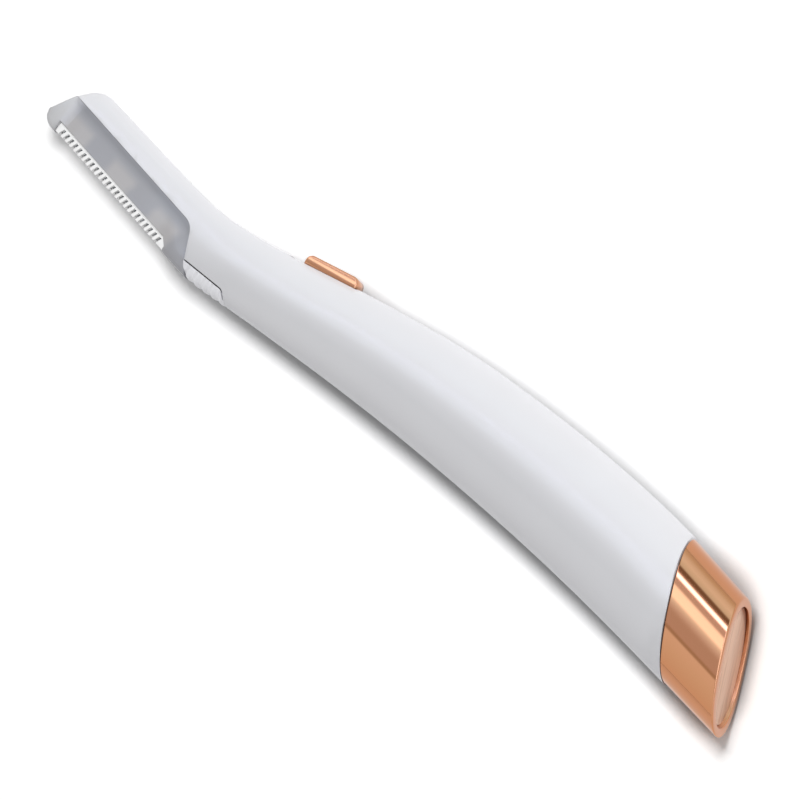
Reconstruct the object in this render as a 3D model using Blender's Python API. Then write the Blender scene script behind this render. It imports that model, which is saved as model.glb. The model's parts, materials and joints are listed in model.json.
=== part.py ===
"""Lighted facial shaver: a curved two-shell handle, a blade cartridge on its arm, a slide switch
on its back and a pull-off cap over the battery bay.

Everything is drawn in one frame: X runs from the tip to the tail, Y points to the switch side and
Z across the handle, with the parting plane at Z = 0. The finished part is then set down on its
side, so that the bottom centre of its box is the world's origin.
"""
import math

import bmesh
import bpy
from mathutils import Matrix, Vector

mm = 0.001

# Clearances
GAP = 0.3 * mm                  # between neighbouring pieces
HALF_SEAM = 0.15 * mm           # each shell stops this far from the parting plane

# Battery bay: one AAA cell, its guide tube and the springs and plates at its ends
CELL_LENGTH = 44.5 * mm
CELL_DIAMETER = 10.5 * mm
NUB_LENGTH = 1.0 * mm
NUB_RADIUS = 1.9 * mm
NUB_CHAMFER = 0.2 * mm
CAN_ROUND = 0.4 * mm
SLEEVE_WALL = 0.35 * mm
SLEEVE_MARGIN = 0.5 * mm        # the can shows this much at each end of the sleeve
TUBE_WALL = 0.9 * mm
TUBE_EXTRA = 1.7 * mm           # the tube runs this far past the cell
CONTACT_THICKNESS = 0.4 * mm
CONTACT_HALF_WIDTH = 3.8 * mm
SPRING_LENGTH = 7.7 * mm
SPRING_RADIUS = 3.1 * mm
SPRING_WIRE = 0.35 * mm         # wire radius
SPRING_TURNS = 4.5
STRIP_WIDTH = 3.0 * mm
STRIP_THICKNESS = 0.4 * mm
STRIP_LEAD = 4.2 * mm           # the strip starts this far ahead of the tube
CONTACT_LEG = 3.0 * mm          # leg of the cap's contact along the strip
BAY_HEIGHT = 7.1 * mm           # cell axis above the drawing's X axis
BAY_SLACK = 0.35 * mm           # spare width between the tube and the shells

# Handle: lengths of its zones from the tip, walls and the slant of the cap seam
ARM_LENGTH = 34.4 * mm          # tip to the rear corner of the cartridge pocket
NECK_LENGTH = 25.6 * mm         # pocket corner to the middle of the switch
SWITCH_TO_BAY = 28.0 * mm       # middle of the switch to the front of the tube
SEAM_SETBACK = 5.2 * mm         # plug floor to the seam, on the cell axis
CAP_LENGTH = 13.2 * mm
WALL = 1.4 * mm
SLANT = math.radians(29.5)      # seam and end face lean from square
SIDE_FLAT = 1.06                # fuller than the handle's width, then cut flat: a narrow flat land
KEEL_ROUND = 1.7 * mm           # rounding of the underside from the bay to the tail

# Cap, its end plate and its plug
CAP_STEP = 0.35 * mm            # the handle stands this much proud of the cap
CAP_WALL = 1.0 * mm
CAP_RIM = 1.7 * mm
CAP_RECESS = 0.8 * mm
CAP_WEB = 1.2 * mm
CAP_EDGE = 0.4 * mm             # chamfer of the rim
CAP_SEAM_EDGE = 0.25 * mm       # chamfer at the seam
END_PLATE_THICKNESS = 0.5 * mm
PLUG_WALL = 1.0 * mm
PLUG_FLOOR = 1.2 * mm
PLUG_REACH = 3.5 * mm           # plug behind the seam, inside the cap
PLUG_SECTION = 2.5 * mm         # place behind the plug's mouth whose section it keeps throughout
PULL_SLOPE = math.radians(4.85) # the tail's centre line falls by this angle

# Nose and cartridge
NOSE_HEIGHT = 0.85 * mm         # level of the foremost point
NOSE_FLAT = 0.2 * mm
NOSE_ROUND = 3.2 * mm           # length of the rounded lower nose
NOSE_BLEND = 5.4 * mm           # softens the front line into the arm's back
NOSE_TAPER = 3.0 * mm           # length over which the nose narrows, seen from above
NOSE_WIDTH = 0.55               # share of the width left at the foremost point
NOSE_SHARE = 0.275              # share of the arm with the closest sections
FRONT_SLOPE = math.radians(61.8)
EDGE_TILT = math.radians(7.3)   # the cutting edge falls towards the tail
EDGE_LEVEL = 1.05 * mm          # tooth tips below the X axis, at the tip
POCKET_HEIGHT = 7.12 * mm       # tooth tips to the arm's lower edge
POCKET_SLOPE = math.radians(58.8)
POCKET_CORNER = 3.2 * mm
POCKET_FOOT = 6.0 * mm          # the pocket's cut ends this far below the grip's upper edge
COVER_STEP = 0.6 * mm           # the arm stands this much proud of the covers
CORE_HALF = 0.7 * mm            # cartridge frame's half thickness
CORE_START = 3.5 * mm
KEEL_RISE = 0.7 * mm            # the core's keel stands this deep in the handle's slot
BLADE_START = 4.3 * mm
BLADE_SETBACK = 2.1 * mm        # blade's rear end, ahead of the pocket's corner
BLADE_EDGE = 0.75 * mm          # cutting edge above the tooth tips
BLADE_TOP = 5.6 * mm
BLADE_HALF = 0.12 * mm
BLADE_GRIND = 1.1 * mm
BOSS_MARGIN = 3.4 * mm          # from the blade's ends to the outer bosses' middles
BOSS_COUNT = 3
BOSS_SIZE = (4.9 * mm, 2.2 * mm)
BOSS_HEIGHT = 3.85 * mm
BOSS_CORNER = 0.8 * mm
BOSS_SINK = 0.5 * mm            # bosses are rooted this deep in their cover
COMB_START = 3.2 * mm
COMB_SETBACK = 1.3 * mm         # comb's rear end, ahead of the pocket's corner
COMB_HEIGHT = 1.75 * mm
COMB_BLOCK = 2.0 * mm           # toothless rear end
COMB_END_RUN = 1.5 * mm         # slope that ends the comb's back
COMB_END_HEIGHT = 0.6 * mm
COMB_HALF_WIDTH = 1.7 * mm
COMB_TIP_HALF = 0.95 * mm
COMB_LEG = 0.5 * mm             # hidden leg above the comb's visible back
COMB_LEG_HALF = 1.2 * mm
COMB_FLOOR = 0.45 * mm
COMB_BEVEL = 0.25 * mm
TOOTH_PITCH = 1.15 * mm
TOOTH_GAP = 0.55 * mm
TOOTH_DEPTH = 1.3 * mm
TOOTH_LEAN = math.radians(20)
TOOTH_START = 4.5 * mm
FRAME_CLEARANCE = 0.5 * mm      # core's lower edge above the tooth tips and the underside

# Thumb grip of the cartridge
GRIP_LEVEL = -3.85 * mm         # upper edge of the grip's recess, at its front
GRIP_LENGTH = 9.2 * mm
GRIP_RISE = 0.22 * mm           # that edge rises by this much towards its rear
GRIP_SLOPE = math.radians(50.5)
GRIP_CORNER = 1.2 * mm
RIB_PITCH = 1.85 * mm
RIB_DEPTH = 0.4 * mm
GRIP_ROOT = 0.8 * mm            # core's depth inside the grip
GRIP_WALL_RUN = 1.6 * mm        # the floor above the recess runs this far past its rear

# Switch and circuit board, drawn along the sloping back of the neck
BACK_SLOPE = math.radians(12.6)
BED_DEPTH = 0.8 * mm            # recess that the slider runs in
SLIDER_LENGTH = 10.6 * mm
SLIDER_WIDTH = 4.6 * mm
SLIDER_HEIGHT = 2.15 * mm
SLIDER_LEAD = 0.5 * mm          # its middle is this far ahead of its stem's
SLIDER_ROUND = 1.2 * mm         # upper ends, seen from the side
SLIDER_EDGE = 0.35 * mm
SWITCH_TRAVEL = 2.5 * mm
STEM_LENGTH = 4.0 * mm
STEM_WIDTH = 3.0 * mm
STEM_DEPTH = 2.65 * mm
STEM_ROOT = 0.5 * mm            # depth of the stem inside the bar
SWITCH_CUT = 4.0 * mm           # the switch's cutters end this far above and below the crest
LEVER_LENGTH = 1.5 * mm
LEVER_WIDTH = 2.0 * mm
LEVER_HEIGHT = 2.7 * mm
LEVER_REACH = 1.1 * mm          # how far the lever stands in the stem's fork
CASE_LENGTH = 9.2 * mm
CASE_WIDTH = 3.8 * mm
CASE_HEIGHT = 3.2 * mm
BOARD_THICKNESS = 1.0 * mm
BOARD_FRONT = 16.5 * mm         # ahead of the switch's middle
BOARD_REAR = 20.0 * mm          # behind it
BOARD_HALF_WIDTH = 3.4 * mm
BOARD_NOSE_HALF = 2.2 * mm
BOARD_NOSE = 8.0 * mm
LED_RADIUS = 1.5 * mm
LED_LENGTH = 4.0 * mm
LED_FLANGE = 0.3 * mm
LED_FLANGE_LENGTH = 0.6 * mm
LED_LEVEL = 0.7 * mm            # LED axis above the board
LED_LEG_LENGTH = 1.8 * mm
LED_LEG_SIZE = 0.5 * mm
LED_LEG_SPREAD = 0.8 * mm       # from the LED's middle to each leg
CHIP_PLACE = 9.0 * mm           # places along the board are counted from the switch's middle
CHIP_SIZE = (3.0 * mm, 1.1 * mm, 3.0 * mm)
CAPACITOR_PLACE = -13.2 * mm
CAPACITOR_SIZE = (2.0 * mm, 1.2 * mm, 1.25 * mm)
INDUCTOR_PLACE = 13.3 * mm
INDUCTOR_RADIUS = 2.0 * mm
INDUCTOR_WAIST = 1.6 * mm
INDUCTOR_FLANGE = 0.5 * mm
INDUCTOR_SLOPE = 0.3 * mm
INDUCTOR_HEIGHT = 2.8 * mm
WIRE_RADIUS = 0.45 * mm
WIRE_INSET = 1.2 * mm           # wires end this far inside the edges of board, plate and strip
POSITIVE_BEND = (2.6 * mm, 0.5 * mm, 0)
NEGATIVE_BEND = (2.2 * mm, -2.0 * mm, 0)
WINDOW_LENGTH = 4.5 * mm        # opening for the wires ahead of the tube
WINDOW_HALF = 2.5 * mm

# Bulkheads, ribs and pegs of the shells
CAVITY_SETBACK = 5.1 * mm       # solid root of the arm, behind the pocket's corner
BULKHEAD_FRONT = 10.0 * mm      # ahead of the switch's middle
BULKHEAD_REAR = 16.5 * mm       # behind it
TUBE_RIBS = (0.09, 0.5, 0.91)   # shares of the cell's length
RIB_THICKNESS = 1.2 * mm
PEG_FRONT = 6.0 * mm            # lower front peg, ahead of the switch's middle
PEG_REAR = 6.5 * mm             # lower rear peg, ahead of the tube
PEG_OFFSET = 1.2 * mm           # upper rear peg, behind the lower one
NECK_PEG = 2.6 * mm             # peg in the arm's root, behind the pocket's corner
NECK_PEG_SHARE = 0.45           # and its share of the height there
PEG_BOSS = 1.8 * mm
PEG_RADIUS = 0.8 * mm
PEG_LENGTH = 2.0 * mm
PEG_LEVEL = 2.5 * mm            # peg centres inside the handle's outline

# Mesh fineness and the overrun of the cutters
WELD = 0.002                    # mm, corners closer than this are one corner
OVERRUN = 15.0 * mm             # cutters run this far past the ends of what they cut
SIDE_COUNT = 20                 # steps along one side of a section, back to underside
ROUND_COUNT = 24                # sides of a turned body
SMALL_ROUND_COUNT = 16
WIRE_COUNT = 6                  # sides of a wire, and steps between the corners of its route
BAR_SMOOTH = 60                 # degrees, smooth shading across a wire's sides
COIL_STEPS = 12                 # steps along one turn of the spring
NOSE_STEPS = 11                 # sections of the nose, crowded towards the tip by a power
NOSE_CROWDING = 1.4
ARM_PITCH = 6.0 * mm            # spacing of the sections further back, zone by zone
NECK_PITCH = 3.4 * mm
SHOULDER_PITCH = 5.7 * mm
BAY_PITCH = 6.6 * mm
CHAMBER_PITCH = 4.5 * mm
CAP_PITCH = 5.0 * mm
GRIP_STEPS = 6                  # sections along one wave of the grip

# Places that follow from the sizes
x_pocket = ARM_LENGTH
x_switch = x_pocket + NECK_LENGTH
x_bay = x_switch + SWITCH_TO_BAY
x_cell_end = x_bay + CELL_LENGTH
x_seat = x_cell_end + GAP + SPRING_LENGTH + GAP
x_floor = x_seat + CONTACT_THICKNESS + GAP
x_seam = x_floor + SEAM_SETBACK
x_end = x_seam + CAP_LENGTH
tube_bore = CELL_DIAMETER / 2 + GAP
tube_radius = tube_bore + TUBE_WALL
x_tube_end = x_cell_end + TUBE_EXTRA
x_plug = x_tube_end + GAP
bay_half_width = tube_radius + GAP + WALL + BAY_SLACK
core_gap = CORE_HALF + GAP
nose_end = NOSE_SHARE * x_pocket
blade_end = ARM_LENGTH - BLADE_SETBACK
comb_end = ARM_LENGTH - COMB_SETBACK
reach = bay_half_width + WALL   # cutters run past both sides of the handle


def between(start, end, share):
    """The place a share of the way from start to end."""
    return start + (end - start) * share


# Side view and plan view of the handle: at each station, the level of its back and of its
# underside, its half width, the share of the height at which it is widest, and the fullness of
# the section's upper side and of its lower side
STATIONS = (
    (0, 9.86, -1.05, 2.45, 0.50, 4.2, 4.2, 4.2),
    (nose_end, 8.92, -2.26, 2.85, 0.50, 4.2, 4.2, 4.2),
    (between(0, x_pocket, 0.64), 7.62, -3.86, 2.95, 0.50, 4.2, 4.2, 4.2),
    (x_pocket, 6.50, -5.47, 3.28, 0.50, 4.0, 4.2, 4.0),
    (between(x_pocket, x_switch, 0.22), 6.77, -6.08, 3.85, 0.50, 3.6, 3.7, 3.5),
    (between(x_pocket, x_switch, 0.46), 7.60, -5.70, 4.60, 0.50, 3.0, 3.1, 2.9),
    (between(x_pocket, x_switch, 0.765), 9.28, -5.02, 5.75, 0.49, 2.6, 2.7, 2.4),
    (x_switch, 10.68, -4.58, 6.45, 0.48, 2.4, 2.5, 2.1),
    (between(x_switch, x_bay, 0.43), 13.30, -3.76, 7.50, 0.49, 2.2, 2.4, 1.9),
    (x_bay, 16.05, -3.12, 8.50, 0.49, 2.1, 2.4, 1.7),
    (between(x_bay, x_seam, 0.30), 17.50, -3.00, 8.50, 0.49, 2.0, 2.5, 1.55),
    (between(x_bay, x_seam, 0.58), 17.90, -3.40, 8.50, 0.50, 2.0, 2.5, 1.4),
    (between(x_bay, x_seam, 0.85), 17.32, -4.33, 8.50, 0.53, 2.0, 2.6, 1.3),
    (between(x_seam, x_end, 0.55), 15.42, -5.75, 8.35, 0.56, 2.0, 2.6, 1.25),
    (between(x_seam, x_end, 1.60), 13.00, -7.10, 8.20, 0.57, 2.0, 2.6, 1.25),
)


def curve_value(column, x):
    """Value of one station column at x, on a smooth curve through the stations."""
    last = len(STATIONS) - 2
    index = 0
    while index < last and x > STATIONS[index + 1][0]:
        index += 1

    def slope(k):
        low, high = max(k - 1, 0), min(k + 1, last + 1)
        rise = STATIONS[high][column] - STATIONS[low][column]
        return rise / (STATIONS[high][0] - STATIONS[low][0])

    x0, x1 = STATIONS[index][0], STATIONS[index + 1][0]
    y0, y1 = STATIONS[index][column], STATIONS[index + 1][column]
    step = x1 - x0
    t = (x - x0) / step
    return ((2 * t**3 - 3 * t**2 + 1) * y0 + (t**3 - 2 * t**2 + t) * step * slope(index)
            + (3 * t**2 - 2 * t**3) * y1 + (t**3 - t**2) * step * slope(index + 1))


def back_level(x):
    """Level of the handle's back, with the slanted front of the nose blended in."""
    front = NOSE_HEIGHT + NOSE_FLAT + x * math.tan(FRONT_SLOPE)
    back = curve_value(1, max(x, 0)) * mm
    overlap = max(NOSE_BLEND - abs(front - back), 0) / NOSE_BLEND
    return min(front, back) - overlap**2 * NOSE_BLEND / 4


def under_level(x):
    """Level of the handle's underside, rounded up to the nose's foremost point."""
    if x >= NOSE_ROUND:
        return curve_value(2, x) * mm
    depth = NOSE_HEIGHT - NOSE_FLAT - curve_value(2, NOSE_ROUND) * mm
    return NOSE_HEIGHT - NOSE_FLAT - depth * math.sqrt(1 - (1 - max(x, 0) / NOSE_ROUND)**2)


def lean(x):
    """Slope of the section planes: square up to the bay, slanted like the seam at the cap."""
    start = between(x_bay, x_seam, 0.15)
    t = min(max((x - start) / (x_seam - start), 0), 1)
    return math.tan(SLANT) * t * t * (3 - 2 * t)


def half_width(x):
    """Half width of the handle; around the bay it follows from the tube."""
    growth = bay_half_width / mm - max(station[3] for station in STATIONS)
    share = min(max((x - x_pocket) / (x_bay - x_pocket), 0), 1)
    nose = max(1 - max(x, 0) / NOSE_TAPER, 0)
    full = min((curve_value(3, max(x, 0)) + growth * share) * mm, bay_half_width)
    return full * (1 - (1 - NOSE_WIDTH) * nose**2)


def keel_round(x):
    """Rounding of the underside: none up to the switch, full from the bay on."""
    return KEEL_ROUND * min(max((x - x_switch) / (x_bay - x_switch), 0), 1)


def section(x, inset=0.0, width_inset=None, square=False):
    """Points of the section that crosses the cell axis at x, from its back to its underside, on
    the +Z side. The section lies inside the surface by inset, and by width_inset across."""
    side = half_width(x) - (inset if width_inset is None else width_inset)
    keel = keel_round(x)
    tilt = 0.0 if square else lean(x)
    top = back_level(x) - inset
    bottom = under_level(x) + inset
    for _ in range(6):
        top = back_level(x - tilt * (top - BAY_HEIGHT)) - inset
        bottom = under_level(x - tilt * (bottom - BAY_HEIGHT)) + inset
    widest = between(bottom, top, curve_value(4, max(x, 0)))
    upper, lower_p, lower_q = (curve_value(column, max(x, 0)) for column in (5, 6, 7))
    points = []
    for i in range(SIDE_COUNT + 1):
        angle = math.pi * i / SIDE_COUNT
        rise = abs(math.cos(angle))
        run = max(math.sin(angle), 0)
        if angle < math.pi / 2:
            y = widest + (top - widest) * rise**(2 / upper)
            z = run**(2 / upper)
        else:
            y = widest - (widest - bottom) * rise**(2 / lower_p)
            z = run**(2 / lower_q)
            if keel:
                arc = math.sqrt(1 - (1 - min(max(y - bottom, 0) / keel, 1))**2)
                z = between(z, arc, keel / side)
        points.append(Vector((x - tilt * (y - BAY_HEIGHT), y, side * min(SIDE_FLAT * z, 1))))
    return points


def places(start, end, pitch):
    """Evenly spaced places from start to end, no more than pitch apart."""
    count = max(math.ceil((end - start) / pitch), 1)
    return [between(start, end, i / count) for i in range(count + 1)]


def nose_places():
    """Places from the tip to the end of the nose, closest at the tip."""
    return [nose_end * (i / NOSE_STEPS)**NOSE_CROWDING for i in range(NOSE_STEPS + 1)]


# Small tools for building meshes

def finish_mesh(name, bm, material, smooth=35):
    """Turn a bmesh into an object with outward faces and its material."""
    bmesh.ops.recalc_face_normals(bm, faces=bm.faces)
    mesh = bpy.data.meshes.new(name)
    bm.to_mesh(mesh)
    bm.free()
    obj = bpy.data.objects.new(name, mesh)
    bpy.context.collection.objects.link(obj)
    if material is not None:
        mesh.materials.append(material)
    if smooth:
        mesh.shade_smooth()
        mesh.set_sharp_from_angle(angle=math.radians(smooth))
    return obj


def skin(name, rings, material=None, smooth=35):
    """Closed body over rings of points: each ring joins the next, and both ends are capped."""
    bm = bmesh.new()
    loops = [[bm.verts.new(p) for p in ring] for ring in rings]
    for first, second in zip(loops, loops[1:]):
        for i, corner in enumerate(first):
            j = (i + 1) % len(first)
            bm.faces.new((corner, first[j], second[j], second[i]))
    bm.faces.new(loops[0])
    bm.faces.new(list(reversed(loops[-1])))
    return finish_mesh(name, bm, material, smooth)


def shell_side(points, side):
    """Section of one shell: the side's points, closed along a line next to the parting plane."""
    return [Vector((p.x, p.y, side * max(p.z, HALF_SEAM))) for p in points]


def whole(points):
    """Section on both sides of the parting plane."""
    mirrored = [Vector((p.x, p.y, -p.z)) for p in reversed(points[1:-1])]
    return points + mirrored


def prism(name, outline, low, high, material=None, frame=None, smooth=35):
    """Outline in X and Y, carried from Z = low to Z = high, then placed by frame."""
    rings = [[Vector((x, y, z)) for x, y in outline] for z in (low, high)]
    obj = skin(name, rings, material, smooth)
    if frame is not None:
        obj.data.transform(frame)
    return obj


def box(name, low, high, material=None, frame=None):
    """Box between two corners."""
    outline = ((low[0], low[1]), (high[0], low[1]), (high[0], high[1]), (low[0], high[1]))
    return prism(name, outline, low[2], high[2], material, frame, 0)


def turned(name, profile, centre, direction, material=None, closed=False, count=ROUND_COUNT):
    """Body turned about a line: profile holds (distance along, radius) pairs. A closed profile
    makes a tube; an open one is capped flat at both ends."""
    turn = Vector((0, 0, 1)).rotation_difference(Vector(direction)).to_matrix().to_4x4()
    frame = Matrix.Translation(centre) @ turn
    bm = bmesh.new()
    loops = []
    for along, radius in profile:
        loop = []
        for i in range(count):
            angle = 2 * math.pi * i / count
            spot = Vector((radius * math.cos(angle), radius * math.sin(angle), along))
            loop.append(bm.verts.new(frame @ spot))
        loops.append(loop)
    pairs = list(zip(loops, loops[1:]))
    if closed:
        pairs.append((loops[-1], loops[0]))
    for first, second in pairs:
        for i in range(count):
            j = (i + 1) % count
            bm.faces.new((first[i], first[j], second[j], second[i]))
    if not closed:
        bm.faces.new(loops[0])
        bm.faces.new(loops[-1])
    return finish_mesh(name, bm, material)


def swept(name, route, radius, material):
    """Thin round bar along a route of points, with flat ends."""
    rings = []
    across = None
    for i, spot in enumerate(route):
        ahead = route[min(i + 1, len(route) - 1)] - route[max(i - 1, 0)]
        ahead.normalize()
        if across is None:
            across = ahead.orthogonal()
        across = (across - ahead * across.dot(ahead)).normalized()
        other = ahead.cross(across)
        ring = []
        for k in range(WIRE_COUNT):
            angle = 2 * math.pi * k / WIRE_COUNT
            ring.append(spot + radius * (math.cos(angle) * across + math.sin(angle) * other))
        rings.append(ring)
    return skin(name, rings, material, BAR_SMOOTH)


def smooth_route(corners):
    """Points on a smooth curve through the corners."""
    route = []
    for i in range(len(corners) - 1):
        before = corners[max(i - 1, 0)]
        after = corners[min(i + 2, len(corners) - 1)]
        start, end = corners[i], corners[i + 1]
        for k in range(WIRE_COUNT):
            t = k / WIRE_COUNT
            route.append((2 * t**3 - 3 * t**2 + 1) * start + (t**3 - 2 * t**2 + t) * (end - before) / 2
                         + (3 * t**2 - 2 * t**3) * end + (t**3 - t**2) * (after - start) / 2)
    route.append(corners[-1])
    return route


def combine(body, tool, operation='DIFFERENCE'):
    """Cut the body with the tool, or join the two, and drop the tool. The cut is made with one
    millimetre as the unit, where small features are worked out most exactly."""
    for obj in (body, tool):
        obj.data.transform(Matrix.Scale(1 / mm, 4))
    modifier = body.modifiers.new("combine", 'BOOLEAN')
    modifier.operation = operation
    modifier.solver = 'EXACT'
    modifier.object = tool
    graph = bpy.context.evaluated_depsgraph_get()
    mesh = bpy.data.meshes.new_from_object(body.evaluated_get(graph))
    body.modifiers.clear()
    bm = bmesh.new()
    bm.from_mesh(mesh)
    bmesh.ops.remove_doubles(bm, verts=bm.verts, dist=WELD)
    bmesh.ops.dissolve_degenerate(bm, edges=bm.edges, dist=WELD)
    bm.to_mesh(mesh)
    bm.free()
    mesh.transform(Matrix.Scale(mm, 4))
    old = body.data
    body.data = mesh
    mesh.name = body.name
    bpy.data.meshes.remove(old)
    tool_mesh = tool.data
    bpy.data.objects.remove(tool)
    bpy.data.meshes.remove(tool_mesh)
    return body


def sharpen(obj):
    """Smooth shading with crisp edges."""
    obj.data.shade_smooth()
    obj.data.set_sharp_from_angle(angle=math.radians(32))
    return obj


def offset_path(path, distance):
    """Open path moved to its right-hand side by a distance."""
    moved = []
    for i, spot in enumerate(path):
        before = path[i] - path[i - 1] if i else path[1] - path[0]
        after = path[i + 1] - path[i] if i < len(path) - 1 else before
        normals = [Vector((d.y, -d.x)).normalized() for d in (before, after)]
        bisector = (normals[0] + normals[1]).normalized()
        moved.append(spot + bisector * distance / bisector.dot(normals[0]))
    return moved


def round_corners(path, radii, steps=5):
    """Path with each corner that has a radius turned into an arc."""
    points = []
    for i, spot in enumerate(path):
        radius = radii.get(i, 0)
        if not radius:
            points.append((spot.x, spot.y))
            continue
        back = (path[i - 1] - spot).normalized()
        ahead = (path[(i + 1) % len(path)] - spot).normalized()
        half = back.angle(ahead) / 2
        centre = spot + (back + ahead).normalized() * radius / math.sin(half)
        start = spot + back * radius / math.tan(half) - centre
        end = spot + ahead * radius / math.tan(half) - centre
        sweep = start.angle_signed(end)
        for k in range(steps + 1):
            arm = start.copy()
            arm.rotate(Matrix.Rotation(-sweep * k / steps, 2))
            points.append((centre.x + arm.x, centre.y + arm.y))
    return points


def rounded_box_outline(length, height, radius, steps=4):
    """Rectangle about the origin with round corners."""
    corners = [Vector((-length / 2, -height / 2)), Vector((length / 2, -height / 2)),
               Vector((length / 2, height / 2)), Vector((-length / 2, height / 2))]
    return round_corners(corners, {i: radius for i in range(4)}, steps)


def finish(name, colour, roughness, metallic=0.0):
    """Material with one colour, roughness and metallic value."""
    material = bpy.data.materials.new(name)
    material.use_nodes = True
    shader = material.node_tree.nodes["Principled BSDF"]
    shader.inputs["Base Color"].default_value = (*colour, 1)
    shader.inputs["Roughness"].default_value = roughness
    shader.inputs["Metallic"].default_value = metallic
    return material


for old in list(bpy.data.objects):
    bpy.data.objects.remove(old)

white = finish("white_gloss", (0.86, 0.86, 0.88), 0.28)
rose_gold = finish("rose_gold", (0.66, 0.30, 0.15), 0.12, 1.0)
satin_rose = finish("satin_rose_gold", (0.62, 0.42, 0.34), 0.4, 1.0)
smoke = finish("smoke_plastic", (0.42, 0.42, 0.45), 0.35)
comb_white = finish("comb_white", (0.88, 0.88, 0.88), 0.4)
frame_white = finish("frame_white", (0.80, 0.80, 0.82), 0.4)
steel = finish("blade_steel", (0.70, 0.71, 0.73), 0.2, 1.0)
nickel = finish("nickel", (0.72, 0.70, 0.66), 0.3, 1.0)
board_green = finish("board_green", (0.05, 0.25, 0.12), 0.5)
black = finish("black_plastic", (0.03, 0.03, 0.03), 0.5)
clear = finish("clear_acrylic", (0.90, 0.92, 0.95), 0.1)
sleeve_grey = finish("cell_sleeve", (0.35, 0.38, 0.42), 0.3)
copper = finish("copper_wire", (0.72, 0.35, 0.20), 0.35, 1.0)
red = finish("red_wire", (0.6, 0.05, 0.04), 0.5)


# Frames of the cartridge and of the switch

def edge_point(along, up):
    """Drawing point for a place along the tooth tips and a height above them."""
    tilt_cos, tilt_sin = math.cos(EDGE_TILT), math.sin(EDGE_TILT)
    return Vector((along * tilt_cos + up * tilt_sin, -EDGE_LEVEL - along * tilt_sin + up * tilt_cos))


edge_frame = Matrix.Translation((0, -EDGE_LEVEL, 0)) @ Matrix.Rotation(-EDGE_TILT, 4, 'Z')
switch_frame = (Matrix.Translation((x_switch, back_level(x_switch), 0))
                @ Matrix.Rotation(BACK_SLOPE, 4, 'Z'))
laid_flat = Matrix.Rotation(math.radians(-90), 4, 'X')

# Ends of the slider in the switch frame, and heights from the crest downwards
slider_front = -SLIDER_LENGTH / 2 - SLIDER_LEAD
slider_rear = SLIDER_LENGTH / 2 - SLIDER_LEAD
slider_low = GAP - BED_DEPTH
slider_top = slider_low + SLIDER_HEIGHT
stem_low = slider_low - STEM_DEPTH
lever_top = stem_low + LEVER_REACH
lever_low = lever_top - LEVER_HEIGHT
case_top = stem_low - GAP
case_low = case_top - CASE_HEIGHT
board_top = case_low - GAP
board_low = board_top - BOARD_THICKNESS


def pocket_path(offset):
    """Upper edge of the cartridge's pocket in the handle, from ahead of the tip along the arm,
    down the neck and round the grip's recess. A positive offset moves it into the cartridge."""
    corner = Vector((x_pocket, edge_point(0, POCKET_HEIGHT).y - x_pocket * math.tan(EDGE_TILT)))
    start = corner + Vector((-1, math.tan(EDGE_TILT))) * (x_pocket + OVERRUN)
    knee = corner + Vector((1 / math.tan(POCKET_SLOPE), -1)) * (corner.y - GRIP_LEVEL)
    heel = knee + Vector((GRIP_LENGTH, GRIP_RISE))
    foot = heel + Vector((1 / math.tan(GRIP_SLOPE), -1)) * POCKET_FOOT
    return offset_path([start, corner, knee, heel, foot], offset)


def keel_path(margin):
    """Top of the core's keel, grown by a margin: level behind the nose, so that the slot stays
    closed there, then along the pocket's edge to the end of the grip."""
    edge = pocket_path(0)
    share = (CORE_START - 2 * GAP - edge[0].x) / (edge[1].x - edge[0].x)
    level = edge[0].lerp(edge[1], share).y - GAP + margin
    path = pocket_path(-KEEL_RISE - margin)
    start = path[0].lerp(path[1], (path[0].y - level) / (path[0].y - path[1].y))
    x_stop = edge[3].x - KEEL_RISE + margin
    end = path[2].lerp(path[3], (x_stop - path[2].x) / (path[3].x - path[2].x))
    return [start, path[1], path[2], end]


def pocket_prism(name, offset):
    """Everything below the pocket's edge."""
    path = pocket_path(offset)
    low = path[-1].y
    outline = [*path, Vector((path[0].x, low))]
    rounds = {1: POCKET_CORNER, 3: GRIP_CORNER}
    return prism(name, round_corners(outline, rounds), -reach, reach)


# Handle shells

def handle_places():
    """Section places of the handle's outside, closest where it curves most."""
    return (nose_places() + places(nose_end, x_pocket, ARM_PITCH)[1:]
            + places(x_pocket, x_switch, NECK_PITCH)[1:]
            + places(x_switch, x_bay, SHOULDER_PITCH)[1:]
            + places(x_bay, x_seam, BAY_PITCH)[1:])


def chambers():
    """Spaces inside the shells, open at the seam. Bulkheads and tube ribs stand between them, and
    peg bosses inside them."""
    stops = [x_pocket + CAVITY_SETBACK]
    for x in rib_places():
        stops += [x, x + RIB_THICKNESS]
    stops.append(x_seam + OVERRUN)
    heel = pocket_path(0)[3]
    bodies = []
    for start, end in zip(stops[::2], stops[1::2]):
        rings = []
        for x in places(start, end, CHAMBER_PITCH):
            ring = section(x, WALL, square=True)
            if x <= heel.x + GRIP_WALL_RUN:
                ring = raised(ring, heel.y + WALL)
            rings.append(whole(ring))
        body = skin("chamber", rings)
        for x, y in peg_places():
            if start < x < end:
                combine(body, turned("boss", ((-reach, PEG_BOSS), (reach, PEG_BOSS)), (x, y, 0),
                                     (0, 0, 1)))
        bodies.append(body)
    return bodies


def raised(points, floor):
    """Section pressed together so that its underside stays above a floor."""
    top, bottom = points[0].y, points[-1].y
    scale = (top - floor) / (top - bottom)
    return [Vector((p.x, top - (top - p.y) * scale, p.z)) for p in points]


def rib_places():
    """Front face of each bulkhead and tube rib."""
    plate_wall = x_bay - 2 * GAP - CONTACT_THICKNESS - RIB_THICKNESS
    ribs = [x_switch - BULKHEAD_FRONT, x_switch + BULKHEAD_REAR, plate_wall]
    ribs += [x_bay + CELL_LENGTH * share for share in TUBE_RIBS]
    return ribs


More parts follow.
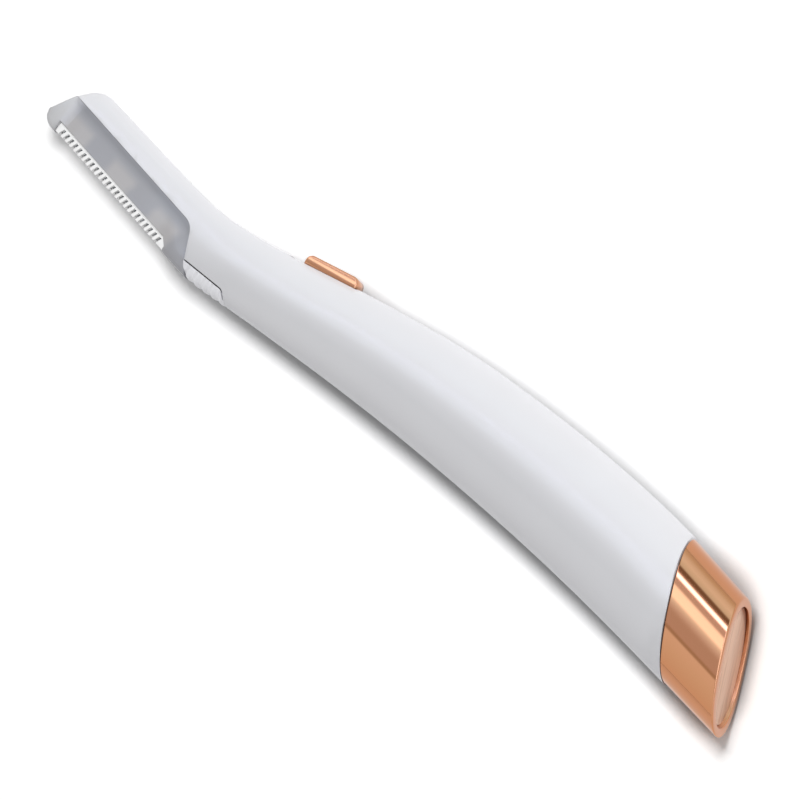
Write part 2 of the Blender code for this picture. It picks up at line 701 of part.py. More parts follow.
def peg_places():
    """Centres of the pegs inside the cavity."""
    front, rear = x_switch - PEG_FRONT, x_bay - PEG_REAR
    return [(front, under_level(front) + PEG_LEVEL), (rear, under_level(rear) + PEG_LEVEL),
            (rear + PEG_OFFSET, back_level(rear) - PEG_LEVEL)]


def neck_peg():
    """Centre of the peg in the solid root of the arm."""
    height = between(pocket_path(0)[1].y, back_level(x_pocket), NECK_PEG_SHARE)
    return x_pocket + NECK_PEG, height


def keel_slot():
    """Slot in the arm and neck for the keel of the cartridge's core."""
    path = keel_path(GAP)
    low = pocket_path(0)[4].y
    outline = [Vector((-CORE_START, path[0].y)), *path, Vector((path[-1].x, low)),
               Vector((-CORE_START, low))]
    return prism("slot", [(p.x, p.y) for p in outline], -core_gap, core_gap)


def board_outline(margin):
    """Outline of the circuit board seen from above, in the switch frame's X and Z."""
    front, step, rear = -BOARD_FRONT - margin, -BOARD_NOSE - margin, BOARD_REAR + margin
    narrow, wide = BOARD_NOSE_HALF + margin, BOARD_HALF_WIDTH + margin
    return ((front, -narrow), (step, -narrow), (step, -wide), (rear, -wide),
            (rear, wide), (step, wide), (step, narrow), (front, narrow))


def board_body(name, margin, material=None):
    """Circuit board, or the space it needs with a margin all round."""
    low, high = board_low - margin, board_top + margin
    obj = prism(name, board_outline(margin), low, high, material, smooth=0)
    obj.data.transform(switch_frame @ laid_flat)
    return obj


def cell_line(x):
    """Point on the cell's axis."""
    return Vector((x, BAY_HEIGHT, 0))


ALONG = Vector((1, 0, 0))
led_start = switch_frame @ Vector((-BOARD_FRONT, board_top + LED_LEVEL, 0))
led_way = (switch_frame.to_3x3() @ Vector((-1, 0, 0))).normalized()

# The light pipe ends just short of the keel's slot in the slanted wall of the neck
slot_edge = keel_path(2 * GAP)
slot_normal = Vector((0, 0, 1)).cross((slot_edge[2] - slot_edge[1]).to_3d()).normalized()
steepness = led_way.dot(slot_normal)
rim = LED_RADIUS * math.sqrt(1 - steepness**2)
pipe_end = ((slot_edge[1].to_3d() - led_start).dot(slot_normal) + rim) / steepness

strip_level = BAY_HEIGHT - tube_radius - GAP - STRIP_THICKNESS
x_strip = x_bay - STRIP_LEAD


def passages():
    """Cutters that both shells share: the tube's seat, the strip's channel, the board's slots,
    the slider's slot and bed, the light pipe's hole, and windows for the wires."""
    seat = turned("seat", ((0, tube_radius + GAP), (x_seam + OVERRUN - x_bay, tube_radius + GAP)),
                  cell_line(x_bay - GAP), ALONG)
    channel = box("channel", (x_strip - GAP, strip_level - GAP, -STRIP_WIDTH / 2 - GAP),
                  (x_floor, BAY_HEIGHT, STRIP_WIDTH / 2 + GAP))
    stem_half = STEM_WIDTH / 2 + GAP
    slot = box("switch_slot", (-STEM_LENGTH / 2 - GAP - SWITCH_TRAVEL, -SWITCH_CUT, -stem_half),
               (STEM_LENGTH / 2 + GAP, SWITCH_CUT, stem_half), frame=switch_frame)
    bed_half = SLIDER_WIDTH / 2 + GAP
    bed = box("slider_bed", (slider_front - GAP - SWITCH_TRAVEL, -BED_DEPTH, -bed_half),
              (slider_rear + GAP, SWITCH_CUT, bed_half), frame=switch_frame)
    pipe = turned("pipe_hole", ((-LED_RADIUS, LED_RADIUS + GAP), (pipe_end + reach, LED_RADIUS + GAP)),
                  led_start, led_way)
    window = box("window", (x_bay - WINDOW_LENGTH, BAY_HEIGHT - WINDOW_HALF, -WINDOW_HALF),
                 (x_bay, BAY_HEIGHT + WINDOW_HALF, WINDOW_HALF))
    return [pocket_prism("pocket", 0), keel_slot(), seat, channel, slot, bed, pipe,
            board_body("board_space", GAP), window]


def handle_shell(name, side):
    """One shell of the handle: +1 is the left one, which the photograph shows."""
    rings = [shell_side(section(x), side) for x in handle_places()]
    shell = skin(name, rings, white)
    for cutter in chambers() + passages():
        combine(shell, cutter)
    for x, y in [*peg_places(), neck_peg()]:
        half = PEG_LENGTH / 2 if side > 0 else PEG_LENGTH / 2 + GAP
        radius = PEG_RADIUS if side > 0 else PEG_RADIUS + GAP
        peg = turned("peg", ((-half, radius), (half, radius)), (x, y, 0), (0, 0, 1),
                     count=SMALL_ROUND_COUNT)
        combine(shell, peg, 'UNION' if side > 0 else 'DIFFERENCE')
    return sharpen(shell)


left_housing = handle_shell("left_housing", 1)
right_housing = handle_shell("right_housing", -1)


# Cell, tube and contacts

tube = turned("battery_tube",
              ((0, tube_bore), (0, tube_radius), (x_tube_end - x_bay, tube_radius),
               (x_tube_end - x_bay, tube_bore)), cell_line(x_bay), ALONG, frame_white, closed=True)

can_radius = CELL_DIAMETER / 2 - SLEEVE_WALL - GAP
battery_can = turned("battery_can",
                     ((0, NUB_RADIUS - NUB_CHAMFER), (NUB_CHAMFER, NUB_RADIUS),
                      (NUB_LENGTH, NUB_RADIUS), (NUB_LENGTH, can_radius - CAN_ROUND),
                      (NUB_LENGTH + CAN_ROUND, can_radius), (CELL_LENGTH - CAN_ROUND, can_radius),
                      (CELL_LENGTH, can_radius - CAN_ROUND)),
                     cell_line(x_bay), ALONG, nickel)
sleeve_length = CELL_LENGTH - NUB_LENGTH - 2 * SLEEVE_MARGIN
battery_sleeve = turned("battery_sleeve",
                        ((0, can_radius + GAP), (0, CELL_DIAMETER / 2),
                         (sleeve_length, CELL_DIAMETER / 2), (sleeve_length, can_radius + GAP)),
                        cell_line(x_bay + NUB_LENGTH + SLEEVE_MARGIN), ALONG, sleeve_grey,
                        closed=True)

x_plate = x_bay - GAP - CONTACT_THICKNESS
positive_contact = box("positive_contact",
                       (x_plate, BAY_HEIGHT - CONTACT_HALF_WIDTH, -CONTACT_HALF_WIDTH),
                       (x_plate + CONTACT_THICKNESS, BAY_HEIGHT + CONTACT_HALF_WIDTH,
                        CONTACT_HALF_WIDTH), nickel)

x_leg = x_seat - CONTACT_LEG
negative_strip = box("negative_strip", (x_strip, strip_level, -STRIP_WIDTH / 2),
                     (x_leg - GAP, strip_level + STRIP_THICKNESS, STRIP_WIDTH / 2), nickel)

coil = []
for step in range(int(SPRING_TURNS * COIL_STEPS) + 1):
    turn = step / COIL_STEPS
    along = x_cell_end + GAP + SPRING_WIRE + turn / SPRING_TURNS * (SPRING_LENGTH - 2 * SPRING_WIRE)
    angle = 2 * math.pi * turn
    coil.append(cell_line(along) + SPRING_RADIUS * Vector((0, math.cos(angle), math.sin(angle))))
cap_spring = swept("cap_spring", coil, SPRING_WIRE, nickel)
coil_pitch = (SPRING_LENGTH - 2 * SPRING_WIRE) / SPRING_TURNS
print("least gap between the spring's turns, mm:", round((coil_pitch - 2 * SPRING_WIRE) / mm, 2))

x_back = x_seat + CONTACT_THICKNESS
leg = [(x_leg, strip_level), (x_back, strip_level), (x_back, BAY_HEIGHT), (x_seat, BAY_HEIGHT),
       (x_seat, strip_level + STRIP_THICKNESS), (x_leg, strip_level + STRIP_THICKNESS)]
cap_contact = prism("cap_contact", leg, -STRIP_WIDTH / 2, STRIP_WIDTH / 2, nickel, smooth=0)
combine(cap_contact, box("plate", (x_seat, BAY_HEIGHT - CONTACT_HALF_WIDTH, -CONTACT_HALF_WIDTH),
                         (x_back, BAY_HEIGHT + CONTACT_HALF_WIDTH, CONTACT_HALF_WIDTH)), 'UNION')


# Cap, end plate and plug

def slanted(start, end, inset, ends=(0.0, 0.0)):
    """Closed body between two slanted planes, inset from the handle's surface. Each end can be
    drawn in by a chamfer."""
    stops = places(start, end, CAP_PITCH)
    insets = [inset] * len(stops)
    if ends[0]:
        stops.insert(1, start + ends[0])
        insets.insert(0, inset + ends[0])
    if ends[1]:
        stops.insert(len(stops) - 1, end - ends[1])
        insets.append(inset + ends[1])
    return [whole(section(x, gap)) for x, gap in zip(stops, insets)]


seam_gap = GAP / math.cos(SLANT)
x_plate_face = x_end - CAP_RECESS
x_web = x_plate_face - END_PLATE_THICKNESS - seam_gap
tail_cap = skin("tail_cap", slanted(x_seam + seam_gap, x_end, CAP_STEP, (CAP_SEAM_EDGE, CAP_EDGE)),
                rose_gold)
combine(tail_cap, skin("hollow", slanted(x_seam - WALL, x_web - CAP_WEB, CAP_STEP + CAP_WALL)))
combine(tail_cap, skin("recess", slanted(x_web, x_end + WALL, CAP_STEP + CAP_RIM)))
sharpen(tail_cap)

cap_end_plate = skin("cap_end_plate",
                     slanted(x_web + seam_gap, x_plate_face, CAP_STEP + CAP_RIM + GAP), satin_rose)

pull = Vector((math.cos(PULL_SLOPE), -math.sin(PULL_SLOPE), 0))
plug_section = x_plug + PLUG_SECTION


def pull_prism(inset, start, end):
    """Rings of the plug's section moved along the pull from start to end."""
    base = whole(section(plug_section, inset, square=True))
    return [[p + pull * (x - plug_section) for p in base] for x in (start, end)]


plug_inset = WALL + GAP
cap_plug = skin("cap_plug", pull_prism(plug_inset, x_plug, x_seam + OVERRUN), frame_white)
plug_end = x_seam + PLUG_REACH
behind = [whole(section(x, -WALL)) for x in (plug_end, plug_end + 2 * OVERRUN)]
combine(cap_plug, skin("behind", behind))
combine(cap_plug, skin("mouth", pull_prism(plug_inset + PLUG_WALL, x_plug - WALL, x_floor)))
combine(cap_plug, skin("skirt", pull_prism(plug_inset + PLUG_WALL, x_floor + PLUG_FLOOR,
                                           x_seam + 2 * OVERRUN)))


# Switch, circuit board and light

def switch_box(name, low, high, material=None):
    """Box in the switch frame."""
    return box(name, low, high, material, switch_frame)


bar_side = [Vector(spot) for spot in ((slider_front, slider_low), (slider_rear, slider_low),
                                      (slider_rear, slider_top), (slider_front, slider_top))]
bar = prism("switch_slider", round_corners(bar_side, {2: SLIDER_ROUND, 3: SLIDER_ROUND}),
            -SLIDER_WIDTH / 2, SLIDER_WIDTH / 2, rose_gold, switch_frame)
bevel = bar.modifiers.new("edge", 'BEVEL')
bevel.width = SLIDER_EDGE / mm  # worked out in combine, where one millimetre is the unit
bevel.segments = 2
bevel.limit_method = 'ANGLE'
bevel.angle_limit = math.radians(60)
switch_slider = combine(bar, switch_box("stem", (-STEM_LENGTH / 2, stem_low, -STEM_WIDTH / 2),
                                        (STEM_LENGTH / 2, slider_low + STEM_ROOT, STEM_WIDTH / 2)),
                        'UNION')
fork = LEVER_LENGTH / 2 + GAP
combine(switch_slider, switch_box("fork", (-fork, stem_low - WALL, -STEM_WIDTH),
                                  (fork, lever_top + GAP, STEM_WIDTH)))

switch_lever = switch_box("switch_lever", (-LEVER_LENGTH / 2, lever_low, -LEVER_WIDTH / 2),
                          (LEVER_LENGTH / 2, lever_top, LEVER_WIDTH / 2), black)
case_middle = -SWITCH_TRAVEL / 2
switch_case = switch_box("switch_case", (case_middle - CASE_LENGTH / 2, case_low, -CASE_WIDTH / 2),
                         (case_middle + CASE_LENGTH / 2, case_top, CASE_WIDTH / 2), nickel)
combine(switch_case, switch_box("channel",
                                (-fork - SWITCH_TRAVEL, lever_low - GAP, -LEVER_WIDTH / 2 - GAP),
                                (fork, case_top + WALL, LEVER_WIDTH / 2 + GAP)))

circuit_board = board_body("circuit_board", 0, board_green)


def on_board(name, along, size, material):
    """Box seated on the board's upper face."""
    length, height, width = size
    low = board_top + GAP
    return switch_box(name, (along - length / 2, low, -width / 2),
                      (along + length / 2, low + height, width / 2), material)


driver_chip = on_board("driver_chip", CHIP_PLACE, CHIP_SIZE, black)
capacitor = on_board("capacitor", CAPACITOR_PLACE, CAPACITOR_SIZE, frame_white)
lower_slope = INDUCTOR_FLANGE + INDUCTOR_SLOPE
upper_flange = INDUCTOR_HEIGHT - INDUCTOR_FLANGE
inductor_profile = ((0, INDUCTOR_RADIUS), (INDUCTOR_FLANGE, INDUCTOR_RADIUS),
                    (lower_slope, INDUCTOR_WAIST), (upper_flange - INDUCTOR_SLOPE, INDUCTOR_WAIST),
                    (upper_flange, INDUCTOR_RADIUS), (INDUCTOR_HEIGHT, INDUCTOR_RADIUS))
boost_inductor = turned("boost_inductor", inductor_profile,
                        switch_frame @ Vector((INDUCTOR_PLACE, board_top + GAP, 0)),
                        switch_frame.to_3x3() @ Vector((0, 1, 0)), copper)

dome = [(LED_LENGTH - LED_RADIUS * (1 - math.sin(math.radians(angle))),
         LED_RADIUS * math.cos(math.radians(angle))) for angle in range(0, 90, 25)]
led = turned("led", [(GAP, LED_RADIUS), *dome], led_start, led_way, clear, count=SMALL_ROUND_COUNT)
flange_radius = LED_RADIUS + LED_FLANGE
flange = ((GAP, flange_radius), (GAP + LED_FLANGE_LENGTH, flange_radius))
combine(led, turned("flange", flange, led_start, led_way, count=SMALL_ROUND_COUNT), 'UNION')
leg_start = -BOARD_FRONT - 2 * GAP
leg_low = board_top + GAP
for across in (-LED_LEG_SPREAD, LED_LEG_SPREAD):
    half = LED_LEG_SIZE / 2
    combine(led, switch_box("leg", (leg_start, leg_low, across - half),
                            (leg_start + LED_LEG_LENGTH, leg_low + LED_LEG_SIZE, across + half)),
            'UNION')

light_pipe = turned("light_pipe", ((LED_LENGTH + GAP, LED_RADIUS), (pipe_end, LED_RADIUS)),
                    led_start, led_way, clear, count=SMALL_ROUND_COUNT)

wire_gap = WIRE_RADIUS + GAP
board_over = switch_frame @ Vector((BOARD_REAR - WIRE_INSET, board_top + wire_gap, 0))
board_under = switch_frame @ Vector((BOARD_REAR - WIRE_INSET, board_low - wire_gap, 0))
plate_spot = Vector((x_plate - GAP, BAY_HEIGHT + WIRE_INSET, 0))
strip_spot = Vector((x_strip + WIRE_INSET, strip_level + STRIP_THICKNESS + GAP, 0))
positive_wire = swept("positive_wire",
                      smooth_route([board_over, board_over + Vector(POSITIVE_BEND), plate_spot]),
                      WIRE_RADIUS, red)
negative_wire = swept("negative_wire",
                      smooth_route([board_under, board_under + Vector(NEGATIVE_BEND), strip_spot]),
                      WIRE_RADIUS, black)


# Blade cartridge

def edge_prism(name, corners, half, material=None):
    """Prism as wide as twice half, whose corners are given along and above the tooth tips."""
    return prism(name, corners, -half, half, material, edge_frame, 0)


def bosses(name, margin, low, high):
    """Round-ended bosses that hold blade and covers together, spread along the blade."""
    first, last = BLADE_START + BOSS_MARGIN, blade_end - BOSS_MARGIN
    bodies = []
    for i in range(BOSS_COUNT):
        along = between(first, last, i / (BOSS_COUNT - 1))
        outline = [(along + x, BOSS_HEIGHT + y) for x, y in rounded_box_outline(
            BOSS_SIZE[0] + 2 * margin, BOSS_SIZE[1] + 2 * margin, BOSS_CORNER, 3)]
        bodies.append(prism(name, outline, low, high, None, edge_frame, 0))
    return bodies


def edge_bar(name, start, end, half_section, material):
    """Bar along the tooth tips, from the half section's (height, half width) pairs."""
    rings = []
    for along in (start, end):
        outline = [Vector((along, height, z)) for height, z in half_section]
        outline += [Vector((p.x, p.y, -p.z)) for p in reversed(outline)]
        rings.append([edge_frame @ p for p in outline])
    return skin(name, rings, material, 0)


grind = ((BLADE_EDGE, BLADE_HALF / 6), (BLADE_EDGE + BLADE_GRIND, BLADE_HALF), (BLADE_TOP, BLADE_HALF))
blade = edge_bar("blade", BLADE_START, blade_end, grind, steel)
for hole in bosses("hole", GAP, -reach, reach):
    combine(blade, hole)


def core_outline(margin):
    """Side view of the cartridge's core, grown by a margin: the bar above the blade, the block
    behind it, the root of the grip and the keel on top."""
    bar_low = BLADE_TOP + GAP - margin
    block = blade_end + GAP + KEEL_RISE - margin
    comb_roof = COMB_HEIGHT + COMB_LEG + GAP - margin
    comb_rear = comb_end + GAP - margin
    root = pocket_path(GAP)[2]
    floor = under_level(root.x) + FRAME_CLEARANCE - margin
    top = keel_path(margin)
    return [edge_point(CORE_START - margin, bar_low), edge_point(block, bar_low),
            edge_point(block, comb_roof), edge_point(comb_rear, comb_roof),
            edge_point(comb_rear, FRAME_CLEARANCE - margin), Vector((root.x + GRIP_ROOT, floor)),
            Vector((root.x + GRIP_ROOT, root.y - GRIP_ROOT)),
            Vector((top[-1].x, root.y - GRIP_ROOT)), *reversed(top[1:]),
            Vector((edge_point(CORE_START - margin, POCKET_HEIGHT).x, top[0].y))]


cartridge_frame = prism("cartridge_frame", [(p.x, p.y) for p in core_outline(0)],
                        -CORE_HALF, CORE_HALF, frame_white)

grip_edge = pocket_path(GAP)
slant_run = (grip_edge[2].y - grip_edge[4].y) / math.tan(POCKET_SLOPE)
grip_front = grip_edge[2] + Vector((GAP / math.sin(POCKET_SLOPE), 0))
grip_side = [grip_front, grip_edge[3], grip_edge[4],
             Vector((grip_front.x + slant_run, grip_edge[4].y))]
rings = []
for x in places(grip_front.x - RIB_PITCH, grip_edge[4].x + RIB_PITCH, RIB_PITCH / GRIP_STEPS):
    wave = (1 - math.cos(2 * math.pi * (x - grip_front.x) / RIB_PITCH)) / 2
    rings.append(whole(section(x, RIB_DEPTH * wave)))
grip = skin("grip", rings)
combine(grip, prism("grip_side", round_corners(grip_side, {1: GRIP_CORNER}), -reach, reach),
        'INTERSECT')
combine(cartridge_frame, grip, 'UNION')
sharpen(cartridge_frame)


def comb_end_slope(margin):
    """Corners of the slope that ends the comb's back, moved out by a margin."""
    return ((comb_end - COMB_END_RUN + margin, COMB_HEIGHT + margin),
            (comb_end + margin, COMB_END_HEIGHT + margin))


def blade_cover(name, side):
    """Smoke-grey cover of one side of the cartridge; the left one carries the bosses."""
    start, corner, knee = pocket_path(GAP)[:3]
    low = under_level(knee.x) - WALL
    rear = corner + (knee - corner) * (corner.y - low) / (corner.y - knee.y)
    limit = [start, corner, rear, Vector((start.x, low))]
    stops = nose_places() + places(nose_end, rear.x + GAP, ARM_PITCH)[1:]
    rings = [shell_side(section(x, 0, COVER_STEP), side) for x in stops]
    cover = skin(name, rings, smoke)
    combine(cover, prism("limit", round_corners(limit, {1: POCKET_CORNER}), -reach, reach),
            'INTERSECT')
    comb_front, slope = COMB_START - GAP, comb_end_slope(GAP)
    below = -WALL - COMB_END_RUN
    notch = ((comb_front, below), (slope[1][0], below), slope[1], slope[0],
             (comb_front, COMB_HEIGHT + GAP))
    combine(cover, edge_prism("comb_notch", notch, reach))
    leg_roof = COMB_HEIGHT + COMB_LEG + GAP
    rebate = ((comb_front, 0), (slope[0][0], 0), (slope[0][0], leg_roof), (comb_front, leg_roof))
    combine(cover, edge_prism("leg_rebate", rebate, COMB_LEG_HALF + GAP))
    blade_roof, blade_gap = BLADE_TOP + GAP, BLADE_HALF + GAP
    room = ((BLADE_START - GAP, 0), (blade_end + GAP, 0), (blade_end + GAP, blade_roof),
            (BLADE_START - GAP, blade_roof))
    combine(cover, edge_prism("blade_room", room, blade_gap))
    core = [(p.x, p.y) for p in core_outline(GAP)]
    combine(cover, prism("core_room", core, -core_gap, core_gap))
    if side > 0:
        for boss in bosses("boss", 0, -BLADE_HALF, blade_gap + BOSS_SINK):
            combine(cover, boss, 'UNION')
    return sharpen(cover)


blade_cover_left = blade_cover("blade_cover_left", 1)
blade_cover_right = blade_cover("blade_cover_right", -1)

slit = BLADE_HALF + GAP
leg_top = COMB_HEIGHT + COMB_LEG
comb_half = ((0, COMB_TIP_HALF - COMB_BEVEL), (COMB_BEVEL, COMB_TIP_HALF),
             (COMB_HEIGHT, COMB_HALF_WIDTH), (COMB_HEIGHT, COMB_LEG_HALF), (leg_top, COMB_LEG_HALF),
             (leg_top, slit), (COMB_FLOOR, slit))
comb_guard = edge_bar("comb_guard", COMB_START, comb_end, comb_half, comb_white)
slope = comb_end_slope(0)
combine(comb_guard, edge_prism("end_slope", (slope[0], slope[1], (comb_end + WALL, slope[1][1]),
                                             (comb_end + WALL, leg_top + WALL),
                                             (slope[0][0], leg_top + WALL)), reach))
along = TOOTH_START
while along < comb_end - COMB_BLOCK:
    low, high = -WALL, TOOTH_DEPTH
    shift = [math.tan(TOOTH_LEAN) * (level - TOOTH_DEPTH / 2) for level in (low, high)]
    half = TOOTH_GAP / 2
    corners = ((along + shift[0] - half, low), (along + shift[0] + half, low),
               (along + shift[1] + half, high), (along + shift[1] - half, high))
    combine(comb_guard, edge_prism("gap", corners, reach))
    along += TOOTH_PITCH


# Bodies that move, and the part set down on its side

shaver = bpy.data.objects.new("shaver", None)
bpy.context.collection.objects.link(shaver)

moving = {
    "cap_guide": (cell_line(x_seam), [tail_cap, cap_end_plate, cap_plug, cap_contact, cap_spring]),
    "switch_guide": (switch_frame @ Vector((0, 0, 0)), [switch_slider, switch_lever]),
    "cartridge_guide": (Vector((x_pocket, GRIP_LEVEL, 0)),
                        [cartridge_frame, blade_cover_left, blade_cover_right, blade, comb_guard]),
}
fixed = [left_housing, right_housing, tube, battery_can, battery_sleeve, positive_contact,
         negative_strip, positive_wire, negative_wire, switch_case, circuit_board, driver_chip,
         capacitor, boost_inductor, led, light_pipe]

for name, (pivot, pieces) in moving.items():
    guide = bpy.data.objects.new(name, None)
    bpy.context.collection.objects.link(guide)
    guide.parent = shaver
    guide.location = pivot
    for piece in pieces:
        piece.data.transform(Matrix.Translation(-pivot))
        piece.parent = guide
for piece in fixed:
    piece.parent = shaver

bpy.context.view_layer.update()
corners = []
for piece in fixed + [piece for _, pieces in moving.values() for piece in pieces]:
    corners += [piece.matrix_world @ Vector(corner) for corner in piece.bound_box]
low = Vector([min(c[i] for c in corners) for i in range(3)])
high = Vector([max(c[i] for c in corners) for i in range(3)])
shaver.location = (-(low.x + high.x) / 2, -(low.y + high.y) / 2, -low.z)
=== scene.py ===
"""Lighted facial shaver lying on a white table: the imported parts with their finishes, the camera
and the studio light."""
import json
import math

import bmesh
import bpy
from mathutils import Matrix, Vector


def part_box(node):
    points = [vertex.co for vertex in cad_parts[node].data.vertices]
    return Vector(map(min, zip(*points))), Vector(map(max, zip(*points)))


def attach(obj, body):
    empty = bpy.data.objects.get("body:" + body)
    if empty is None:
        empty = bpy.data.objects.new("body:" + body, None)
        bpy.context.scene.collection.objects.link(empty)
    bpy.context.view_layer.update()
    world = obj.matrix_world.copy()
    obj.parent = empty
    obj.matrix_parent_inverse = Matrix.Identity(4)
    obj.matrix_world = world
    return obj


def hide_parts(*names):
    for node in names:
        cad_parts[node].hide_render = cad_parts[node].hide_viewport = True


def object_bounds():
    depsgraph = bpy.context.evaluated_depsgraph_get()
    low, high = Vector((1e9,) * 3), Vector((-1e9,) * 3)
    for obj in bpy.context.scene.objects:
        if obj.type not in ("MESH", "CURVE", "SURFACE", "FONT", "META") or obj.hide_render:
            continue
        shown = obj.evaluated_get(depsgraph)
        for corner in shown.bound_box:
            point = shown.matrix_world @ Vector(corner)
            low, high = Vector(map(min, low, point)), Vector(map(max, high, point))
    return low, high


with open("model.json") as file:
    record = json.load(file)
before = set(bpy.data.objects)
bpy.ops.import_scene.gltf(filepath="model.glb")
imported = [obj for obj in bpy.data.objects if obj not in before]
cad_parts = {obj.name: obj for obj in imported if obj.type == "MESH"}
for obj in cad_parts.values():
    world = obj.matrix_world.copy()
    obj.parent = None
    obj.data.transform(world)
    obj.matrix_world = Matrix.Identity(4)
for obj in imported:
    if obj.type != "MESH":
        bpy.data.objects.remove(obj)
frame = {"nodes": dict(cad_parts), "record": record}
cad_box = [list(corner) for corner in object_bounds()]


# White shells of the handle
# Two injection moulded halves of glossy white plastic, with the arm of the head in one piece with
# them. They meet on the parting plane and are held together by pegs inside.

nodes = frame["nodes"]
mm = 0.001
body_of = {node: body for body, members in frame["record"]["behaviour"]["bodies"].items()
           for node in members}
PARTING = 8.5 * mm              # height of the parting plane
SKIN_FULLNESS = (2.4, 2.2)      # how full a cross-section is in height and in width
SKIN_CROWN = 1.05               # how far the light sees the flat middle of a side as crowned
CROWN_SPREAD = 4                # how soon the crown fades towards the back and the underside
ARM_CROWN = 0.7                 # the same on the arm of the head
ARM_END, NECK_END = -48 * mm, -36 * mm
SKIN_EDGE = (0.86, 0.97)        # share of the height over which the even skin gives way
SKIN_LEAN = (0.80, 0.92)        # likeness to the mesh's own normals over which it takes hold
EVENED_OVER = 3                 # mm on either side
FLAT_FACES = (math.radians(12), math.radians(60))       # joined under this angle and this skew


def new_material(name):
    """Empty node material with its Principled shader, ready for links."""
    material = bpy.data.materials.new(name)
    material.use_nodes = True
    tree = material.node_tree
    return material, tree, tree.nodes["Principled BSDF"]


def surface_grain_group():
    """Fine unevenness of a moulded or plated surface: a roughness, a height and a tint mask."""
    group = bpy.data.node_groups.new("surface_grain", 'ShaderNodeTree')
    for name, value in (("Scale", 400.0), ("Stretch", 1.0), ("Roughness", 0.3),
                        ("Variation", 0.05)):
        socket = group.interface.new_socket(name, in_out='INPUT', socket_type='NodeSocketFloat')
        socket.default_value = value
    for name in ("Roughness", "Height", "Mask"):
        group.interface.new_socket(name, in_out='OUTPUT', socket_type='NodeSocketFloat')
    inside = group.nodes
    inputs = inside.new('NodeGroupInput')
    outputs = inside.new('NodeGroupOutput')
    place = inside.new('ShaderNodeTexCoord')
    squeeze = inside.new('ShaderNodeCombineXYZ')
    squeeze.inputs["Y"].default_value = 1.0
    squeeze.inputs["Z"].default_value = 1.0
    spot = inside.new('ShaderNodeVectorMath')
    spot.operation = 'MULTIPLY'
    grain = inside.new('ShaderNodeTexNoise')
    grain.inputs["Detail"].default_value = 3.0
    cloud = inside.new('ShaderNodeTexNoise')
    cloud.inputs["Scale"].default_value = 90.0
    shift = inside.new('ShaderNodeMath')
    shift.operation = 'SUBTRACT'
    shift.inputs[1].default_value = 0.5
    scaled = inside.new('ShaderNodeMath')
    scaled.operation = 'MULTIPLY_ADD'
    link = group.links.new
    link(inputs.outputs["Stretch"], squeeze.inputs["X"])
    link(place.outputs["Object"], spot.inputs[0])
    link(squeeze.outputs[0], spot.inputs[1])
    link(spot.outputs[0], grain.inputs["Vector"])
    link(inputs.outputs["Scale"], grain.inputs["Scale"])
    link(place.outputs["Object"], cloud.inputs["Vector"])
    link(cloud.outputs[0], shift.inputs[0])
    link(shift.outputs[0], scaled.inputs[0])
    link(inputs.outputs["Variation"], scaled.inputs[1])
    link(inputs.outputs["Roughness"], scaled.inputs[2])
    link(scaled.outputs[0], outputs.inputs["Roughness"])
    link(grain.outputs[0], outputs.inputs["Height"])
    link(cloud.outputs[0], outputs.inputs["Mask"])
    return group


surface_grain = surface_grain_group()


def finish(name, dark, light, roughness, metallic=0.0, scale=400.0, stretch=1.0, variation=0.1,
           bump=0.02, **constants):
    """Material that drifts between two close tones, with grain in its gloss and its relief."""
    material, tree, shader = new_material(name)
    grain = tree.nodes.new('ShaderNodeGroup')
    grain.node_tree = surface_grain
    grain.inputs["Scale"].default_value = scale
    grain.inputs["Stretch"].default_value = stretch
    grain.inputs["Roughness"].default_value = roughness
    grain.inputs["Variation"].default_value = variation
    tone = tree.nodes.new('ShaderNodeMix')
    tone.name = "tone"
    tone.data_type = 'RGBA'
    tone.inputs[6].default_value = (*dark, 1)
    tone.inputs[7].default_value = (*light, 1)
    relief = tree.nodes.new('ShaderNodeBump')
    relief.inputs["Strength"].default_value = bump
    relief.inputs["Distance"].default_value = 0.05 * mm
    tree.links.new(grain.outputs["Mask"], tone.inputs[0])
    tree.links.new(tone.outputs[2], shader.inputs["Base Color"])
    tree.links.new(grain.outputs["Roughness"], shader.inputs["Roughness"])
    tree.links.new(grain.outputs["Height"], relief.inputs["Height"])
    tree.links.new(relief.outputs["Normal"], shader.inputs["Normal"])
    shader.inputs["Metallic"].default_value = metallic
    for socket, value in constants.items():
        shader.inputs[socket.replace("_", " ")].default_value = value
    return material


def stand_for(piece, name):
    """Let a piece take the place of a CAD node on the same body."""
    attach(piece, body_of[name])
    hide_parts(name)
    return piece


def cut_in_squares(bm, pitch):
    """Cut long faces along an even grid over length and height, which leaves the form as it is."""
    for axis in range(2):
        low = min(vert.co[axis] for vert in bm.verts)
        high = max(vert.co[axis] for vert in bm.verts)
        for step in range(math.ceil(low / pitch), math.floor(high / pitch) + 1):
            spot, way = Vector((0, 0, 0)), Vector((0, 0, 0))
            spot[axis], way[axis] = step * pitch, 1
            bmesh.ops.bisect_plane(bm, geom=bm.verts[:] + bm.edges[:] + bm.faces[:],
                                   dist=0.0005 * mm, plane_co=spot, plane_no=way)


